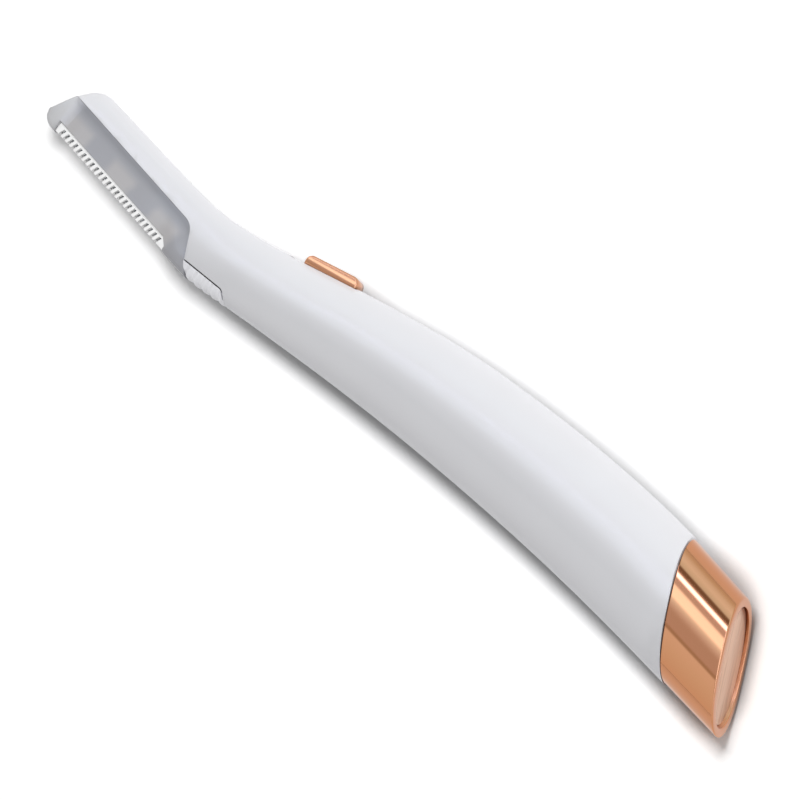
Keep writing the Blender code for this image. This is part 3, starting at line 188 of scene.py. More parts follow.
def moulded(name, material, edge=0.12 * mm, crease=38, grow=0.0, pitch=0.0):
    """Finer piece on the form of a CAD node: smooth faces, and edges rounded as a mould or die
    leaves them. It can be a little fuller than the node."""
    bm = bmesh.new()
    bm.from_mesh(nodes[name].data)
    bmesh.ops.remove_doubles(bm, verts=bm.verts, dist=0.001 * mm)
    bmesh.ops.join_triangles(bm, faces=bm.faces, angle_face_threshold=FLAT_FACES[0],
                             angle_shape_threshold=FLAT_FACES[1])
    if pitch:
        cut_in_squares(bm, pitch)
    if grow:
        bmesh.ops.recalc_face_normals(bm, faces=bm.faces)
        moves = [vert.normal * grow * vert.calc_shell_factor() for vert in bm.verts]
        for vert, move in zip(bm.verts, moves):
            vert.co += move
    mesh = bpy.data.meshes.new(name + "_piece")
    bm.to_mesh(mesh)
    bm.free()
    mesh.shade_smooth()
    mesh.set_sharp_from_angle(angle=math.radians(crease))
    mesh.materials.append(material)
    piece = bpy.data.objects.new(name + "_piece", mesh)
    bpy.context.scene.collection.objects.link(piece)
    if edge:
        bevel = piece.modifiers.new("rounded_edges", 'BEVEL')
        bevel.width = edge
        bevel.segments = 2
        bevel.limit_method = 'ANGLE'
        bevel.angle_limit = math.radians(crease)
        bevel.harden_normals = True
    return stand_for(piece, name)


def measure_form(outline_names, shell):
    """Lowest and highest Y of some nodes and the width of one shell at every millimetre of the
    length, evened out over its neighbours."""
    levels = {}
    for name in outline_names:
        mesh = nodes[name].data
        for edge in mesh.edges:
            first, last = sorted((mesh.vertices[i].co for i in edge.vertices), key=lambda co: co.x)
            run = last.x - first.x
            for place in range(math.ceil(first.x / mm), math.floor(last.x / mm) + 1):
                spot = first.lerp(last, (place * mm - first.x) / run if run > 0 else 0)
                low, high, side = levels.get(place, (spot.y, spot.y, 0.0))
                if name == shell:
                    side = max(side, spot.z - PARTING)
                levels[place] = (min(low, spot.y), max(high, spot.y), side)
    even = {}
    for place in levels:
        reach = range(place - EVENED_OVER, place + EVENED_OVER + 1)
        near = [levels[i] for i in reach if i in levels]
        even[place] = tuple(sum(values) / len(near) for values in zip(*near))
    return even


def form_at(form, x):
    """Lowest and highest Y and width of the form at a place on its length."""
    first, last = min(form), max(form)
    spot = min(max(x / mm, first), last)
    before = min(math.floor(spot), last - 1)
    between = spot - before
    return [a * (1 - between) + b * between for a, b in zip(form[before], form[before + 1])]


def share_of_height(form, x, y):
    """-1 at the underside of the shaver to 1 at its back."""
    low, high, _ = form_at(form, x)
    return min(max((2 * y - low - high) / (high - low), -0.995), 0.995)


def skin_level(form, x, y):
    """Height of the evenly curved skin over the parting plane."""
    share = abs(share_of_height(form, x, y))
    fullness = (1 - share**SKIN_FULLNESS[0])**(1 / SKIN_FULLNESS[1])
    return form_at(form, x)[2] * fullness


def skin_normal(form, x, y, reach=1.0 * mm):
    """Normal of the evenly curved skin on its upper side."""
    along = skin_level(form, x + reach, y) - skin_level(form, x - reach, y)
    across = skin_level(form, x, y + reach / 2) - skin_level(form, x, y - reach / 2)
    share = share_of_height(form, x, y)
    crown = SKIN_CROWN * share * math.exp(-CROWN_SPREAD * share * share)
    return Vector((-along / (2 * reach), crown - across / reach, 1)).normalized()


def ease(value, low, high):
    """Smooth 0 to 1 between two values."""
    t = min(max((value - low) / (high - low), 0), 1)
    return t * t * (3 - 2 * t)


def even_skin(piece, form):
    """Turn the normals of a shell so that its skin shades as one even curve from the back to the
    underside, as the polished mould of the real one leaves it."""
    depsgraph = bpy.context.evaluated_depsgraph_get()
    mesh = bpy.data.meshes.new_from_object(piece.evaluated_get(depsgraph))
    piece.modifiers.clear()
    piece.data = mesh
    skin = []
    for vert in mesh.vertices:
        x, y, z = vert.co
        normal = skin_normal(form, x, y)
        if z < PARTING:
            normal.z = -normal.z
        share = share_of_height(form, x, y)
        skin.append((share, normal,
                     ease(x, ARM_END, NECK_END) * (1 - ease(abs(share), *SKIN_EDGE))))
    normals = []
    for loop, corner in zip(mesh.loops, mesh.corner_normals):
        given = corner.vector
        share, even, weight = skin[loop.vertex_index]
        crowned = Vector((given.x, given.y + ARM_CROWN * share * abs(given.z), given.z))
        weight *= ease(given.dot(even), *SKIN_LEAN)
        normals.append(crowned.normalized().lerp(even, weight).normalized())
    mesh.normals_split_custom_set(normals)


white_plastic = finish("white_gloss_plastic", (0.80, 0.80, 0.83), (0.83, 0.83, 0.86), 0.33,
                       variation=0.05)
shaver_form = measure_form(("left_housing", "tail_cap", "cartridge_frame", "blade_cover_left",
                            "comb_guard"), "left_housing")
for shell in ("left_housing", "right_housing"):
    even_skin(moulded(shell, white_plastic, pitch=2 * mm), shaver_form)


# Rose gold cap
# A moulded plastic cap with a mirror bright plating, cut off at a slant at both ends. A rounded rim
# stands around its end plate, its recess is satin inside, and its own plug holds it in the handle.

CAP_BACK = (Vector((57.66, 11.20, 8.5)), Vector((71.80, 9.36, 8.5)))    # ends of the back line, mm
CAP_KEEL = (Vector((70.20, -11.12, 8.5)), Vector((83.95, -12.46, 8.5)))
CAP_HALF_WIDTH = (8.20, 8.05)
CAP_WALL = 1.0
CAP_RIM = 1.7
CAP_RIM_ROUND = 0.35
CAP_SEAM_ROUND = 0.2
CAP_INNER_ROUND = 0.15          # inside, at the seam and at the rim
CAP_ROUND_END = 0.04            # the straight skin starts this far from a rounding
RECESS_FLOOR = 1.45             # from the rim to the floor behind the plate
HOLLOW_DEPTH = 8.0              # from the seam to the floor in front of it
RING_POINTS = 128
SLANT = math.atan2(CAP_BACK[1].y - CAP_KEEL[1].y, CAP_BACK[1].x - CAP_KEEL[1].x)

cap_length = ((CAP_BACK[1] + CAP_KEEL[1] - CAP_BACK[0] - CAP_KEEL[0]) / 2).length


def cap_ring(place, inset):
    """Ring of the cap on a slanted plane, at a place from the seam in mm, set in from its skin."""
    share = place / cap_length
    top, bottom = CAP_BACK[0].lerp(CAP_BACK[1], share), CAP_KEEL[0].lerp(CAP_KEEL[1], share)
    middle, rise = (top + bottom) / 2, (top - bottom) / 2
    rise -= rise.normalized() * inset
    side = CAP_HALF_WIDTH[0] * (1 - share) + CAP_HALF_WIDTH[1] * share - inset
    ring = []
    for i in range(RING_POINTS):
        turn = 2 * math.pi * i / RING_POINTS
        up, out = math.cos(turn), math.sin(turn)
        height = math.copysign(abs(up)**(2 / SKIN_FULLNESS[0]), up)
        width = math.copysign(abs(out)**(2 / SKIN_FULLNESS[1]), out)
        ring.append((middle + rise * height + Vector((0, 0, side * width))) * mm)
    return ring


def lofted(name, rings, materials, crease=50):
    """Closed piece over rings of points, each joined to the next. A second material is on the last
    wall, a third on the floor behind it."""
    bm = bmesh.new()
    loops = [[bm.verts.new(point) for point in ring] for ring in rings]
    for first, second in zip(loops, loops[1:]):
        for i, corner in enumerate(first):
            j = (i + 1) % len(first)
            face = bm.faces.new((corner, first[j], second[j], second[i]))
            face.material_index = min(len(materials) - 1, 1) if second is loops[-1] else 0
    bm.faces.new(loops[0])
    bm.faces.new(list(reversed(loops[-1]))).material_index = len(materials) - 1
    bmesh.ops.recalc_face_normals(bm, faces=bm.faces)
    mesh = bpy.data.meshes.new(name)
    bm.to_mesh(mesh)
    bm.free()
    mesh.shade_smooth()
    mesh.set_sharp_from_angle(angle=math.radians(crease))
    for material in materials:
        mesh.materials.append(material)
    piece = bpy.data.objects.new(name, mesh)
    bpy.context.scene.collection.objects.link(piece)
    return piece


def rounded(place, inset, radius, quarter, steps=4):
    """Places and insets along a rounded edge. Quarter 0 leads from the skin over to the rim, 1 from
    the rim down its inner wall, and 2 and 3 the same at the seam, from the inside out."""
    path = []
    for i in range(steps + 1):
        turn = math.pi / 2 * i / steps
        s, c = math.sin(turn), math.cos(turn)
        path.append({0: (place - radius * (1 - s), inset + radius * (1 - c)),
                     1: (place - radius * (1 - c), inset - radius * (1 - s)),
                     2: (place + radius * (1 - s), inset - radius * (1 - c)),
                     3: (place + radius * (1 - c), inset + radius * (1 - s))}[quarter])
    return path


cap_path = [(HOLLOW_DEPTH, CAP_WALL)]
cap_path += rounded(0, CAP_WALL, CAP_INNER_ROUND, 2) + rounded(0, 0, CAP_SEAM_ROUND, 3)
cap_path += [(CAP_SEAM_ROUND + CAP_ROUND_END, 0), (cap_length / 2, 0),
             (cap_length - CAP_RIM_ROUND - CAP_ROUND_END, 0)]
cap_path += rounded(cap_length, 0, CAP_RIM_ROUND, 0)
cap_path += rounded(cap_length, CAP_RIM, CAP_INNER_ROUND, 1)
cap_path.append((cap_length - RECESS_FLOOR, CAP_RIM))


def streaks_group():
    """Streaks of a brushed or wound surface: their pattern and the roughness that goes with it."""
    group = bpy.data.node_groups.new("streaks", 'ShaderNodeTree')
    for name, kind in (("Rotation", 'NodeSocketVector'), ("Size", 'NodeSocketVector'),
                       ("Roughness", 'NodeSocketFloat'), ("Variation", 'NodeSocketFloat')):
        group.interface.new_socket(name, in_out='INPUT', socket_type=kind)
    for name in ("Streaks", "Roughness"):
        group.interface.new_socket(name, in_out='OUTPUT', socket_type='NodeSocketFloat')
    inputs = group.nodes.new('NodeGroupInput')
    outputs = group.nodes.new('NodeGroupOutput')
    place = group.nodes.new('ShaderNodeTexCoord')
    way = group.nodes.new('ShaderNodeMapping')
    way.vector_type = 'TEXTURE'
    streaks = group.nodes.new('ShaderNodeTexNoise')
    streaks.inputs["Scale"].default_value = 1.0
    streaks.inputs["Detail"].default_value = 4.0
    shift = group.nodes.new('ShaderNodeMath')
    shift.operation = 'SUBTRACT'
    shift.inputs[1].default_value = 0.5
    gloss = group.nodes.new('ShaderNodeMath')
    gloss.operation = 'MULTIPLY_ADD'
    for first, second in ((place.outputs["Object"], way.inputs["Vector"]),
                          (inputs.outputs["Rotation"], way.inputs["Rotation"]),
                          (inputs.outputs["Size"], way.inputs["Scale"]),
                          (way.outputs[0], streaks.inputs["Vector"]),
                          (streaks.outputs[0], outputs.inputs["Streaks"]),
                          (streaks.outputs[0], shift.inputs[0]),
                          (shift.outputs[0], gloss.inputs[0]),
                          (inputs.outputs["Variation"], gloss.inputs[1]),
                          (inputs.outputs["Roughness"], gloss.inputs[2]),
                          (gloss.outputs[0], outputs.inputs["Roughness"])):
        group.links.new(first, second)
    return group


streaks = streaks_group()


def brushed(name, tones, turn, size, roughness, metallic=1.0):
    """Brushed finish: streaks along one way, in tone, gloss and relief. Their size is in mm."""
    material, tree, shader = new_material(name)
    pattern = tree.nodes.new('ShaderNodeGroup')
    pattern.node_tree = streaks
    pattern.inputs["Rotation"].default_value = (0, 0, turn)
    pattern.inputs["Size"].default_value = tuple(width * mm for width in size)
    pattern.inputs["Roughness"].default_value = roughness
    pattern.inputs["Variation"].default_value = 0.1
    ramp = tree.nodes.new('ShaderNodeValToRGB')
    while len(ramp.color_ramp.elements) < len(tones):
        ramp.color_ramp.elements.new(0.5)
    for element, (place_on, tone) in zip(ramp.color_ramp.elements, tones):
        element.position = place_on
        element.color = (*tone, 1)
    relief = tree.nodes.new('ShaderNodeBump')
    relief.inputs["Strength"].default_value = 0.06
    relief.inputs["Distance"].default_value = 0.02 * mm
    tree.links.new(pattern.outputs["Streaks"], ramp.inputs[0])
    tree.links.new(ramp.outputs[0], shader.inputs["Base Color"])
    tree.links.new(pattern.outputs["Roughness"], shader.inputs["Roughness"])
    tree.links.new(pattern.outputs["Streaks"], relief.inputs["Height"])
    tree.links.new(relief.outputs["Normal"], shader.inputs["Normal"])
    shader.inputs["Metallic"].default_value = metallic
    return material


rose_gold = finish("rose_gold_plating", (0.63, 0.280, 0.142), (0.66, 0.295, 0.150), 0.08, 1.0,
                   variation=0.03, bump=0.01)
recess_gold = finish("recess_gold_plating", (0.63, 0.30, 0.16), (0.66, 0.31, 0.17), 0.36, 1.0,
                     variation=0.04, bump=0.01)
satin_rose = brushed("satin_rose_gold", ((0.36, (0.74, 0.46, 0.32)), (0.47, (0.87, 0.56, 0.40)),
                                         (0.56, (0.91, 0.61, 0.45)), (0.66, (0.79, 0.50, 0.36))),
                     SLANT, (14, 2.0, 1.1), 0.42, metallic=0.5)
stand_for(lofted("cap_body", [cap_ring(*step) for step in cap_path],
                 (rose_gold, recess_gold, satin_rose)), "tail_cap")


# End plate of the cap
# A thin plated plate pressed into the recess of the cap. It is brushed along its length, which
# leaves streaks, and bears no sign here.

PLATE_DEPTH = 0.8               # from the rim to its face
PLATE_THICKNESS = 0.45
PLATE_INSET = 1.82
PLATE_TAPER = 0.05              # its back is this much smaller all round
PLATE_EDGE = 0.08

plate_face = cap_length - PLATE_DEPTH
plate_path = [(plate_face - PLATE_THICKNESS, PLATE_INSET + PLATE_TAPER),
              (plate_face - PLATE_EDGE, PLATE_INSET), (plate_face, PLATE_INSET + PLATE_EDGE)]
stand_for(lofted("end_plate", [cap_ring(*step) for step in plate_path], (satin_rose,)),
          "cap_end_plate")


# Thumb slider and switch
# The plated bar on the back of the neck drives the lever of a small slide switch, which stands in
# its nickel-plated case on the circuit board.

satin_gold = finish("satin_gold_plating", (0.63, 0.30, 0.16), (0.66, 0.31, 0.17), 0.15, 1.0,
                    variation=0.04, bump=0.01)
moulded("switch_slider", satin_gold, edge=0.1 * mm)

black_plastic = finish("black_plastic", (0.025, 0.025, 0.025), (0.04, 0.04, 0.04), 0.42,
                       scale=900, bump=0.1)
nickel = finish("nickel_plating", (0.62, 0.60, 0.55), (0.74, 0.72, 0.68), 0.33, 1.0, scale=700,
                stretch=0.2, bump=0.05)
moulded("switch_lever", black_plastic, edge=0.08 * mm)
moulded("switch_case", nickel, edge=0.08 * mm)


# Covers of the blade
# Two covers of translucent smoke grey plastic hold the blade between them. Its three fixing bosses
# show through them as lighter patches, and the solid nose block as a lighter tip. Along the
# divider, under the proud edge of the arm, a painted shade darkens them.

EDGE_TILT = math.radians(-7.3)          # the cutting edge runs at this angle to the length
EDGE_ORIGIN = Vector((-83.746, -6.646, 0)) * mm
PATCHES = ((3.8, 9.8), (15.3, 21.2), (27.2, 33.2))      # mm along the edge
PATCH_TOP = 4.6                 # mm over the edge
PATCH_SHIFT = 0.7               # half of the waviness of their ends
NOSE_SOFTNESS = 1.6
# The painted shade under the arm's edge starts at this height over the cutting edge, in mm, with
# this softness.
DIVIDER_HEIGHT, DIVIDER_SOFTNESS = 5.6, 0.8


def cover_tone_group():
    """Masks over a cover: the bosses' patches, the nose block and a painted shade along the
    divider, under the edge of the arm.
    """
    group = bpy.data.node_groups.new("cover_tone", 'ShaderNodeTree')
    for name, value in (("Softness", 0.9), ("Nose", 3.4)):
        socket = group.interface.new_socket(name, in_out='INPUT', socket_type='NodeSocketFloat')
        socket.default_value = value
    for name in ("Patches", "Nose", "Divider_shade"):
        group.interface.new_socket(name, in_out='OUTPUT', socket_type='NodeSocketFloat')
    inside = group.nodes
    link = group.links.new
    inputs = inside.new('NodeGroupInput')
    outputs = inside.new('NodeGroupOutput')
    place = inside.new('ShaderNodeTexCoord')
    way = inside.new('ShaderNodeMapping')
    way.vector_type = 'TEXTURE'
    way.inputs["Location"].default_value = EDGE_ORIGIN
    way.inputs["Rotation"].default_value = (0, 0, EDGE_TILT)
    way.inputs["Scale"].default_value = (mm, mm, mm)
    split = inside.new('ShaderNodeSeparateXYZ')
    link(place.outputs["Object"], way.inputs["Vector"])
    link(way.outputs[0], split.inputs[0])

    def worked(operation, first, second, third=None):
        """Result of a math step on sockets or numbers."""
        step = inside.new('ShaderNodeMath')
        step.operation = operation
        for socket, value in zip(step.inputs, (first, second, third)):
            if isinstance(value, (int, float)):
                socket.default_value = value
            elif value is not None:
                link(value, socket)
        return step.outputs[0]

    def soft_step(value, edge, soft, rising=True):
        """0 to 1 across a soft edge."""
        step = inside.new('ShaderNodeMapRange')
        step.interpolation_type = 'SMOOTHSTEP'
        link(value, step.inputs["Value"])
        low = worked('SUBTRACT', edge, soft)
        high = worked('ADD', edge, soft)
        link(low, step.inputs["From Min"])
        link(high, step.inputs["From Max"])
        step.inputs["To Min"].default_value = 0.0 if rising else 1.0
        step.inputs["To Max"].default_value = 1.0 if rising else 0.0
        return step.outputs[0]

    along, height = split.outputs["X"], split.outputs["Y"]
    soft = inputs.outputs["Softness"]
    wander = inside.new('ShaderNodeTexNoise')
    wander.inputs["Scale"].default_value = 0.35
    link(way.outputs[0], wander.inputs["Vector"])
    bent = worked('ADD', along, worked('MULTIPLY', wander.outputs[0], 2 * PATCH_SHIFT))
    total = None
    for start, end in PATCHES:
        patch = worked('MULTIPLY', soft_step(bent, start + PATCH_SHIFT, soft),
                       soft_step(bent, end + PATCH_SHIFT, soft, rising=False))
        total = patch if total is None else worked('ADD', total, patch)
    lower = soft_step(height, PATCH_TOP, soft, rising=False)
    link(worked('MULTIPLY', total, lower), outputs.inputs["Patches"])
    link(soft_step(along, inputs.outputs["Nose"], NOSE_SOFTNESS, rising=False),
         outputs.inputs["Nose"])
    link(soft_step(height, DIVIDER_HEIGHT, DIVIDER_SOFTNESS), outputs.inputs["Divider_shade"])
    return group


smoke = finish("smoke_plastic", (0.40, 0.40, 0.43), (0.43, 0.43, 0.455), 0.33)
tree = smoke.node_tree
shader = tree.nodes["Principled BSDF"]
masks = tree.nodes.new('ShaderNodeGroup')
masks.node_tree = cover_tone_group()
tone = tree.nodes["tone"].outputs[2]
# The divider tone is painted shade under the edge of the arm. The patches and the nose are the
# covers' own lighter tones.
for mask, colour in (("Divider_shade", (0.36, 0.36, 0.385)), ("Patches", (0.52, 0.505, 0.51)),
                     ("Nose", (0.70, 0.70, 0.715))):
    layer = tree.nodes.new('ShaderNodeMix')
    layer.data_type = 'RGBA'
    tree.links.new(masks.outputs[mask], layer.inputs[0])
    tree.links.new(tone, layer.inputs[6])
    layer.inputs[7].default_value = (*colour, 1)
    tone = layer.outputs[2]
tree.links.new(tone, shader.inputs["Base Color"])
for cover in ("blade_cover_left", "blade_cover_right"):
    moulded(cover, smoke, edge=0.15 * mm, grow=0.25 * mm)


# Comb guard
# A white satin moulding whose teeth wrap the cutting edge, so that only hair reaches the blade
# between them.

comb_white = finish("comb_plastic", (0.95, 0.95, 0.95), (0.98, 0.98, 0.98), 0.35)
moulded("comb_guard", comb_white, edge=0.08 * mm)


# Cartridge frame
# The white moulding that carries the blade and its covers. It runs back under the neck, where its
# ribs give the thumb a grip for pushing the cartridge off the arm.

frame_white = finish("frame_plastic", (0.74, 0.74, 0.77), (0.79, 0.79, 0.82), 0.4)
moulded("cartridge_frame", frame_white, edge=0.08 * mm, grow=0.08 * mm)


# Blade
# A strip of stainless steel with a ground edge. The grinding runs across it.

blade_steel = brushed("blade_steel", ((0.35, (0.46, 0.47, 0.49)), (0.65, (0.62, 0.63, 0.65))),
                      EDGE_TILT, (0.4, 8, 2.5), 0.36)
nodes["blade"].data.materials.clear()
nodes["blade"].data.materials.append(blade_steel)


# Plug of the cap with its contact and spring
# The white plug is a press fit in the handle. The nickel-plated contact sits on its floor, and its
# leg and the coil spring join the cell to the strip in the handle.

moulded("cap_plug", frame_white, edge=0.1 * mm)
moulded("cap_contact", nickel, edge=0.05 * mm)
moulded("cap_spring", nickel, edge=0, crease=60)


# Cell and its tube
# One AAA cell with its steel can and bare shrink sleeve slides in a white plastic tube. Its nub
# touches the plate at the front, and a strip along the tube leads back from the cap.

cell_metal = finish("cell_can", (0.60, 0.58, 0.54), (0.74, 0.72, 0.68), 0.24, 1.0, scale=900,
                    stretch=3.0, bump=0.05)
cell_sleeve = finish("cell_sleeve", (0.30, 0.33, 0.37), (0.37, 0.40, 0.44), 0.3, scale=250,
                     stretch=0.3, bump=0.15, Coat_Weight=0.3)
moulded("battery_tube", frame_white, edge=0.1 * mm)
moulded("battery_can", cell_metal, edge=0.1 * mm)
moulded("battery_sleeve", cell_sleeve, edge=0.1 * mm)
moulded("positive_contact", nickel, edge=0.05 * mm)
moulded("negative_strip", nickel, edge=0.05 * mm)


# Wires
# Two short stranded wires with soft plastic insulation join the contacts to the board.

red_wire = finish("red_insulation", (0.50, 0.03, 0.025), (0.62, 0.05, 0.04), 0.34, scale=600,
                  bump=0.1)
moulded("positive_wire", red_wire, edge=0, crease=60)
moulded("negative_wire", black_plastic, edge=0, crease=60)


# Circuit board and its parts
# A board with green lacquer over its copper traces carries the chip and the coil that lift the
# cell's voltage, a small capacitor, and the light at its front end.

board_green, tree, shader = new_material("board_lacquer")
place = tree.nodes.new('ShaderNodeTexCoord')
traces = tree.nodes.new('ShaderNodeTexBrick')
traces.inputs["Color1"].default_value = (0.03, 0.20, 0.09, 1)
traces.inputs["Color2"].default_value = (0.04, 0.24, 0.11, 1)
traces.inputs["Mortar"].default_value = (0.07, 0.34, 0.16, 1)
traces.inputs["Scale"].default_value = 260.0
traces.inputs["Mortar Size"].default_value = 0.06
traces.inputs["Brick Width"].default_value = 1.3
lacquer = tree.nodes.new('ShaderNodeTexNoise')
lacquer.inputs["Scale"].default_value = 900.0
gloss = tree.nodes.new('ShaderNodeMapRange')
gloss.inputs["To Min"].default_value = 0.22
gloss.inputs["To Max"].default_value = 0.42
relief = tree.nodes.new('ShaderNodeBump')
relief.inputs["Strength"].default_value = 0.3
relief.inputs["Distance"].default_value = 0.03 * mm
for first, second in ((place.outputs["Object"], traces.inputs["Vector"]),
                      (place.outputs["Object"], lacquer.inputs["Vector"]),
                      (traces.outputs["Color"], shader.inputs["Base Color"]),
                      (lacquer.outputs[0], gloss.inputs["Value"]),
                      (gloss.outputs[0], shader.inputs["Roughness"]),
                      (traces.outputs["Fac"], relief.inputs["Height"]),
                      (relief.outputs["Normal"], shader.inputs["Normal"])):
    tree.links.new(first, second)
moulded("circuit_board", board_green, edge=0.05 * mm)
moulded("driver_chip", black_plastic, edge=0.08 * mm)
moulded("capacitor", finish("capacitor_ceramic", (0.55, 0.42, 0.28), (0.66, 0.52, 0.36), 0.5),
        edge=0.05 * mm)

copper = brushed("copper_winding", ((0.40, (0.42, 0.17, 0.08)), (0.60, (0.76, 0.38, 0.21))),
                 0.0, (3.3, 3.3, 0.24), 0.36)
moulded("boost_inductor", copper, edge=0.1 * mm)


# Light and light pipe
# The lens of the light and the rod in front of it are clear moulded plastic. The rod leads the
# light through the wall of the neck to the comb.

clear_acrylic = finish("clear_plastic", (0.90, 0.92, 0.95), (0.94, 0.95, 0.97), 0.06,
                       variation=0.04, Transmission_Weight=1.0, IOR=1.49)
moulded("led", clear_acrylic, edge=0.1 * mm)
moulded("light_pipe", clear_acrylic, edge=0.1 * mm)


# Camera
# A long lens looks down on the shaver from the tail's side, with the picture turned so that the
# shaver runs from the upper left to the lower right.

PICTURE_SIZE = 800
PIXELS_PER_MM = 5.735
VIEW_YAW = math.radians(19.03)
PICTURE_TURN = math.radians(40.56)
TIP_PIXEL = (50.3, 115)
CAMERA_DISTANCE = 6.2
SENSOR_WIDTH = 36
TIP_LEVEL = -5.596 * mm         # Y of the point at the tip that TIP_PIXEL belongs to

toward_camera = Vector((math.sin(VIEW_YAW), 0, math.cos(VIEW_YAW)))
along_picture = Vector((math.cos(VIEW_YAW), 0, -math.sin(VIEW_YAW)))
across_picture = Vector((0, 1, 0))
turn_cos, turn_sin = math.cos(PICTURE_TURN), math.sin(PICTURE_TURN)
camera_right = along_picture * turn_cos + across_picture * turn_sin
camera_up = across_picture * turn_cos - along_picture * turn_sin

tip = Vector((cad_box[0][0], TIP_LEVEL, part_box("left_housing")[0][2]))
view_width = PICTURE_SIZE / PIXELS_PER_MM * mm
from_tip = (PICTURE_SIZE / 2 - TIP_PIXEL[0], TIP_PIXEL[1] - PICTURE_SIZE / 2)
aim = tip + (camera_right * from_tip[0] + camera_up * from_tip[1]) / PIXELS_PER_MM * mm

lens = bpy.data.cameras.new("camera")
lens.sensor_width = SENSOR_WIDTH
lens.lens = SENSOR_WIDTH * CAMERA_DISTANCE / view_width
lens.clip_start = 0.01
camera = bpy.data.objects.new("camera", lens)
bpy.context.scene.collection.objects.link(camera)
turn = Matrix((camera_right, camera_up, toward_camera)).transposed().to_4x4()
camera.matrix_world = Matrix.Translation(aim + toward_camera * CAMERA_DISTANCE) @ turn
bpy.context.scene.camera = camera


# White table
# The shaver lies on its right side on a plain white table. To the camera the table is pure white
# away from the shaver. Its close shadow is deepened by a painted shade: the table's colour darkens
# where the shaver comes near it.

TABLE_HALF = 2.0
TABLE_COLOUR = 0.85
TABLE_SEEN = 1.95               # colour for what looks at it, which lifts it to white
TABLE_MIRRORED = 1.6            # colour for mirror finishes
CONTACT_REACH = 9 * mm          # how far the shaver's nearness darkens it
CONTACT_OPEN = (0.53, 0.73)     # openness at full shade and at none
CONTACT_SHADE = 0.40            # share of its colour left at full shade
table_mesh = bpy.data.meshes.new("table")
table_mesh.from_pydata([(-TABLE_HALF, -TABLE_HALF, 0), (TABLE_HALF, -TABLE_HALF, 0),
                        (TABLE_HALF, TABLE_HALF, 0), (-TABLE_HALF, TABLE_HALF, 0)],
                       [], [(0, 1, 2, 3)])
table = bpy.data.objects.new("table", table_mesh)
bpy.context.scene.collection.objects.link(table)


def looking(tree):
    """Kinds of ray, and 1 for a ray from the camera or through glass. Mirror rays aren't in it."""
    kinds = tree.nodes.new('ShaderNodeLightPath')
    either = tree.nodes.new('ShaderNodeMath')
    either.operation = 'MAXIMUM'
    tree.links.new(kinds.outputs["Is Camera Ray"], either.inputs[0])
    tree.links.new(kinds.outputs["Is Transmission Ray"], either.inputs[1])
    return kinds, either.outputs[0]


table_white = bpy.data.materials.new("table_white")
table_white.use_nodes = True
tree = table_white.node_tree
tree.nodes.clear()
rays, seen = looking(tree)
mirrored = tree.nodes.new('ShaderNodeMath')
mirrored.operation = 'MULTIPLY_ADD'
mirrored.inputs[1].default_value = TABLE_MIRRORED - TABLE_COLOUR
mirrored.inputs[2].default_value = TABLE_COLOUR
tree.links.new(rays.outputs["Is Glossy Ray"], mirrored.inputs[0])
level = tree.nodes.new('ShaderNodeMath')
level.operation = 'MULTIPLY_ADD'
level.inputs[1].default_value = TABLE_SEEN - TABLE_COLOUR
tree.links.new(seen, level.inputs[0])
tree.links.new(mirrored.outputs[0], level.inputs[2])
# Painted shade: ambient occlusion reads how near the shaver is, and that nearness darkens the
# table's colour.
contact = tree.nodes.new('ShaderNodeAmbientOcclusion')
contact.inputs["Distance"].default_value = CONTACT_REACH
shade = tree.nodes.new('ShaderNodeMapRange')
shade.inputs["From Min"].default_value = CONTACT_OPEN[0]
shade.inputs["From Max"].default_value = CONTACT_OPEN[1]
shade.inputs["To Min"].default_value = CONTACT_SHADE
tree.links.new(contact.outputs["AO"], shade.inputs["Value"])
shown = tree.nodes.new('ShaderNodeMath')
shown.operation = 'MULTIPLY'
tree.links.new(level.outputs[0], shown.inputs[0])
tree.links.new(shade.outputs[0], shown.inputs[1])
matt = tree.nodes.new('ShaderNodeBsdfDiffuse')
tree.links.new(shown.outputs[0], matt.inputs["Color"])
output = tree.nodes.new('ShaderNodeOutputMaterial')
tree.links.new(matt.outputs[0], output.inputs["Surface"])
table_mesh.materials.append(table_white)


# Studio
# Mirror finishes see the studio as bands, not as the white background, by the angle about the
# shaver's length: 0 is straight up, 90 the switch side. A sky and an overhead softbox light the
# rest. The softboxes on either side light only the shaver, which keeps its shadow close.

STUDIO_BANDS = (
    (-180, (0.86, 0.82, 0.76)), (-97, (0.87, 0.83, 0.77)), (-72, (0.89, 0.91, 0.88)),
    (-45, (0.93, 1.00, 1.00)), (-21.5, (0.98, 1.06, 1.12)),
    (-19.5, (0.52, 0.50, 0.44)), (-16.5, (0.52, 0.50, 0.44)),
    (-14.5, (0.69, 0.70, 0.77)), (-1.5, (0.67, 0.69, 0.75)),
    (1, (0.88, 1.00, 1.20)), (3.5, (1.05, 1.40, 1.65)),
    (5.5, (2.00, 2.40, 2.80)), (15, (1.90, 2.30, 2.70)),
    (18, (0.80, 0.86, 1.00)), (25.5, (0.78, 0.84, 1.00)),
    (28.5, (4.50, 5.00, 7.00)), (32, (4.50, 5.00, 7.00)),
    (34.5, (0.68, 0.72, 0.78)), (38.5, (0.26, 0.22, 0.18)), (44.5, (0.26, 0.22, 0.18)),
    (48, (0.87, 1.14, 1.22)), (61, (1.06, 1.34, 1.50)), (70, (0.96, 1.18, 1.28)),
    (80, (0.80, 0.89, 0.84)), (95, (0.64, 0.66, 0.60)), (130, (0.90, 1.00, 1.10)),
    (180, (0.90, 1.00, 1.10)),
)
BAND_LIMIT = 7.0
SKY_LIGHT = 0.22

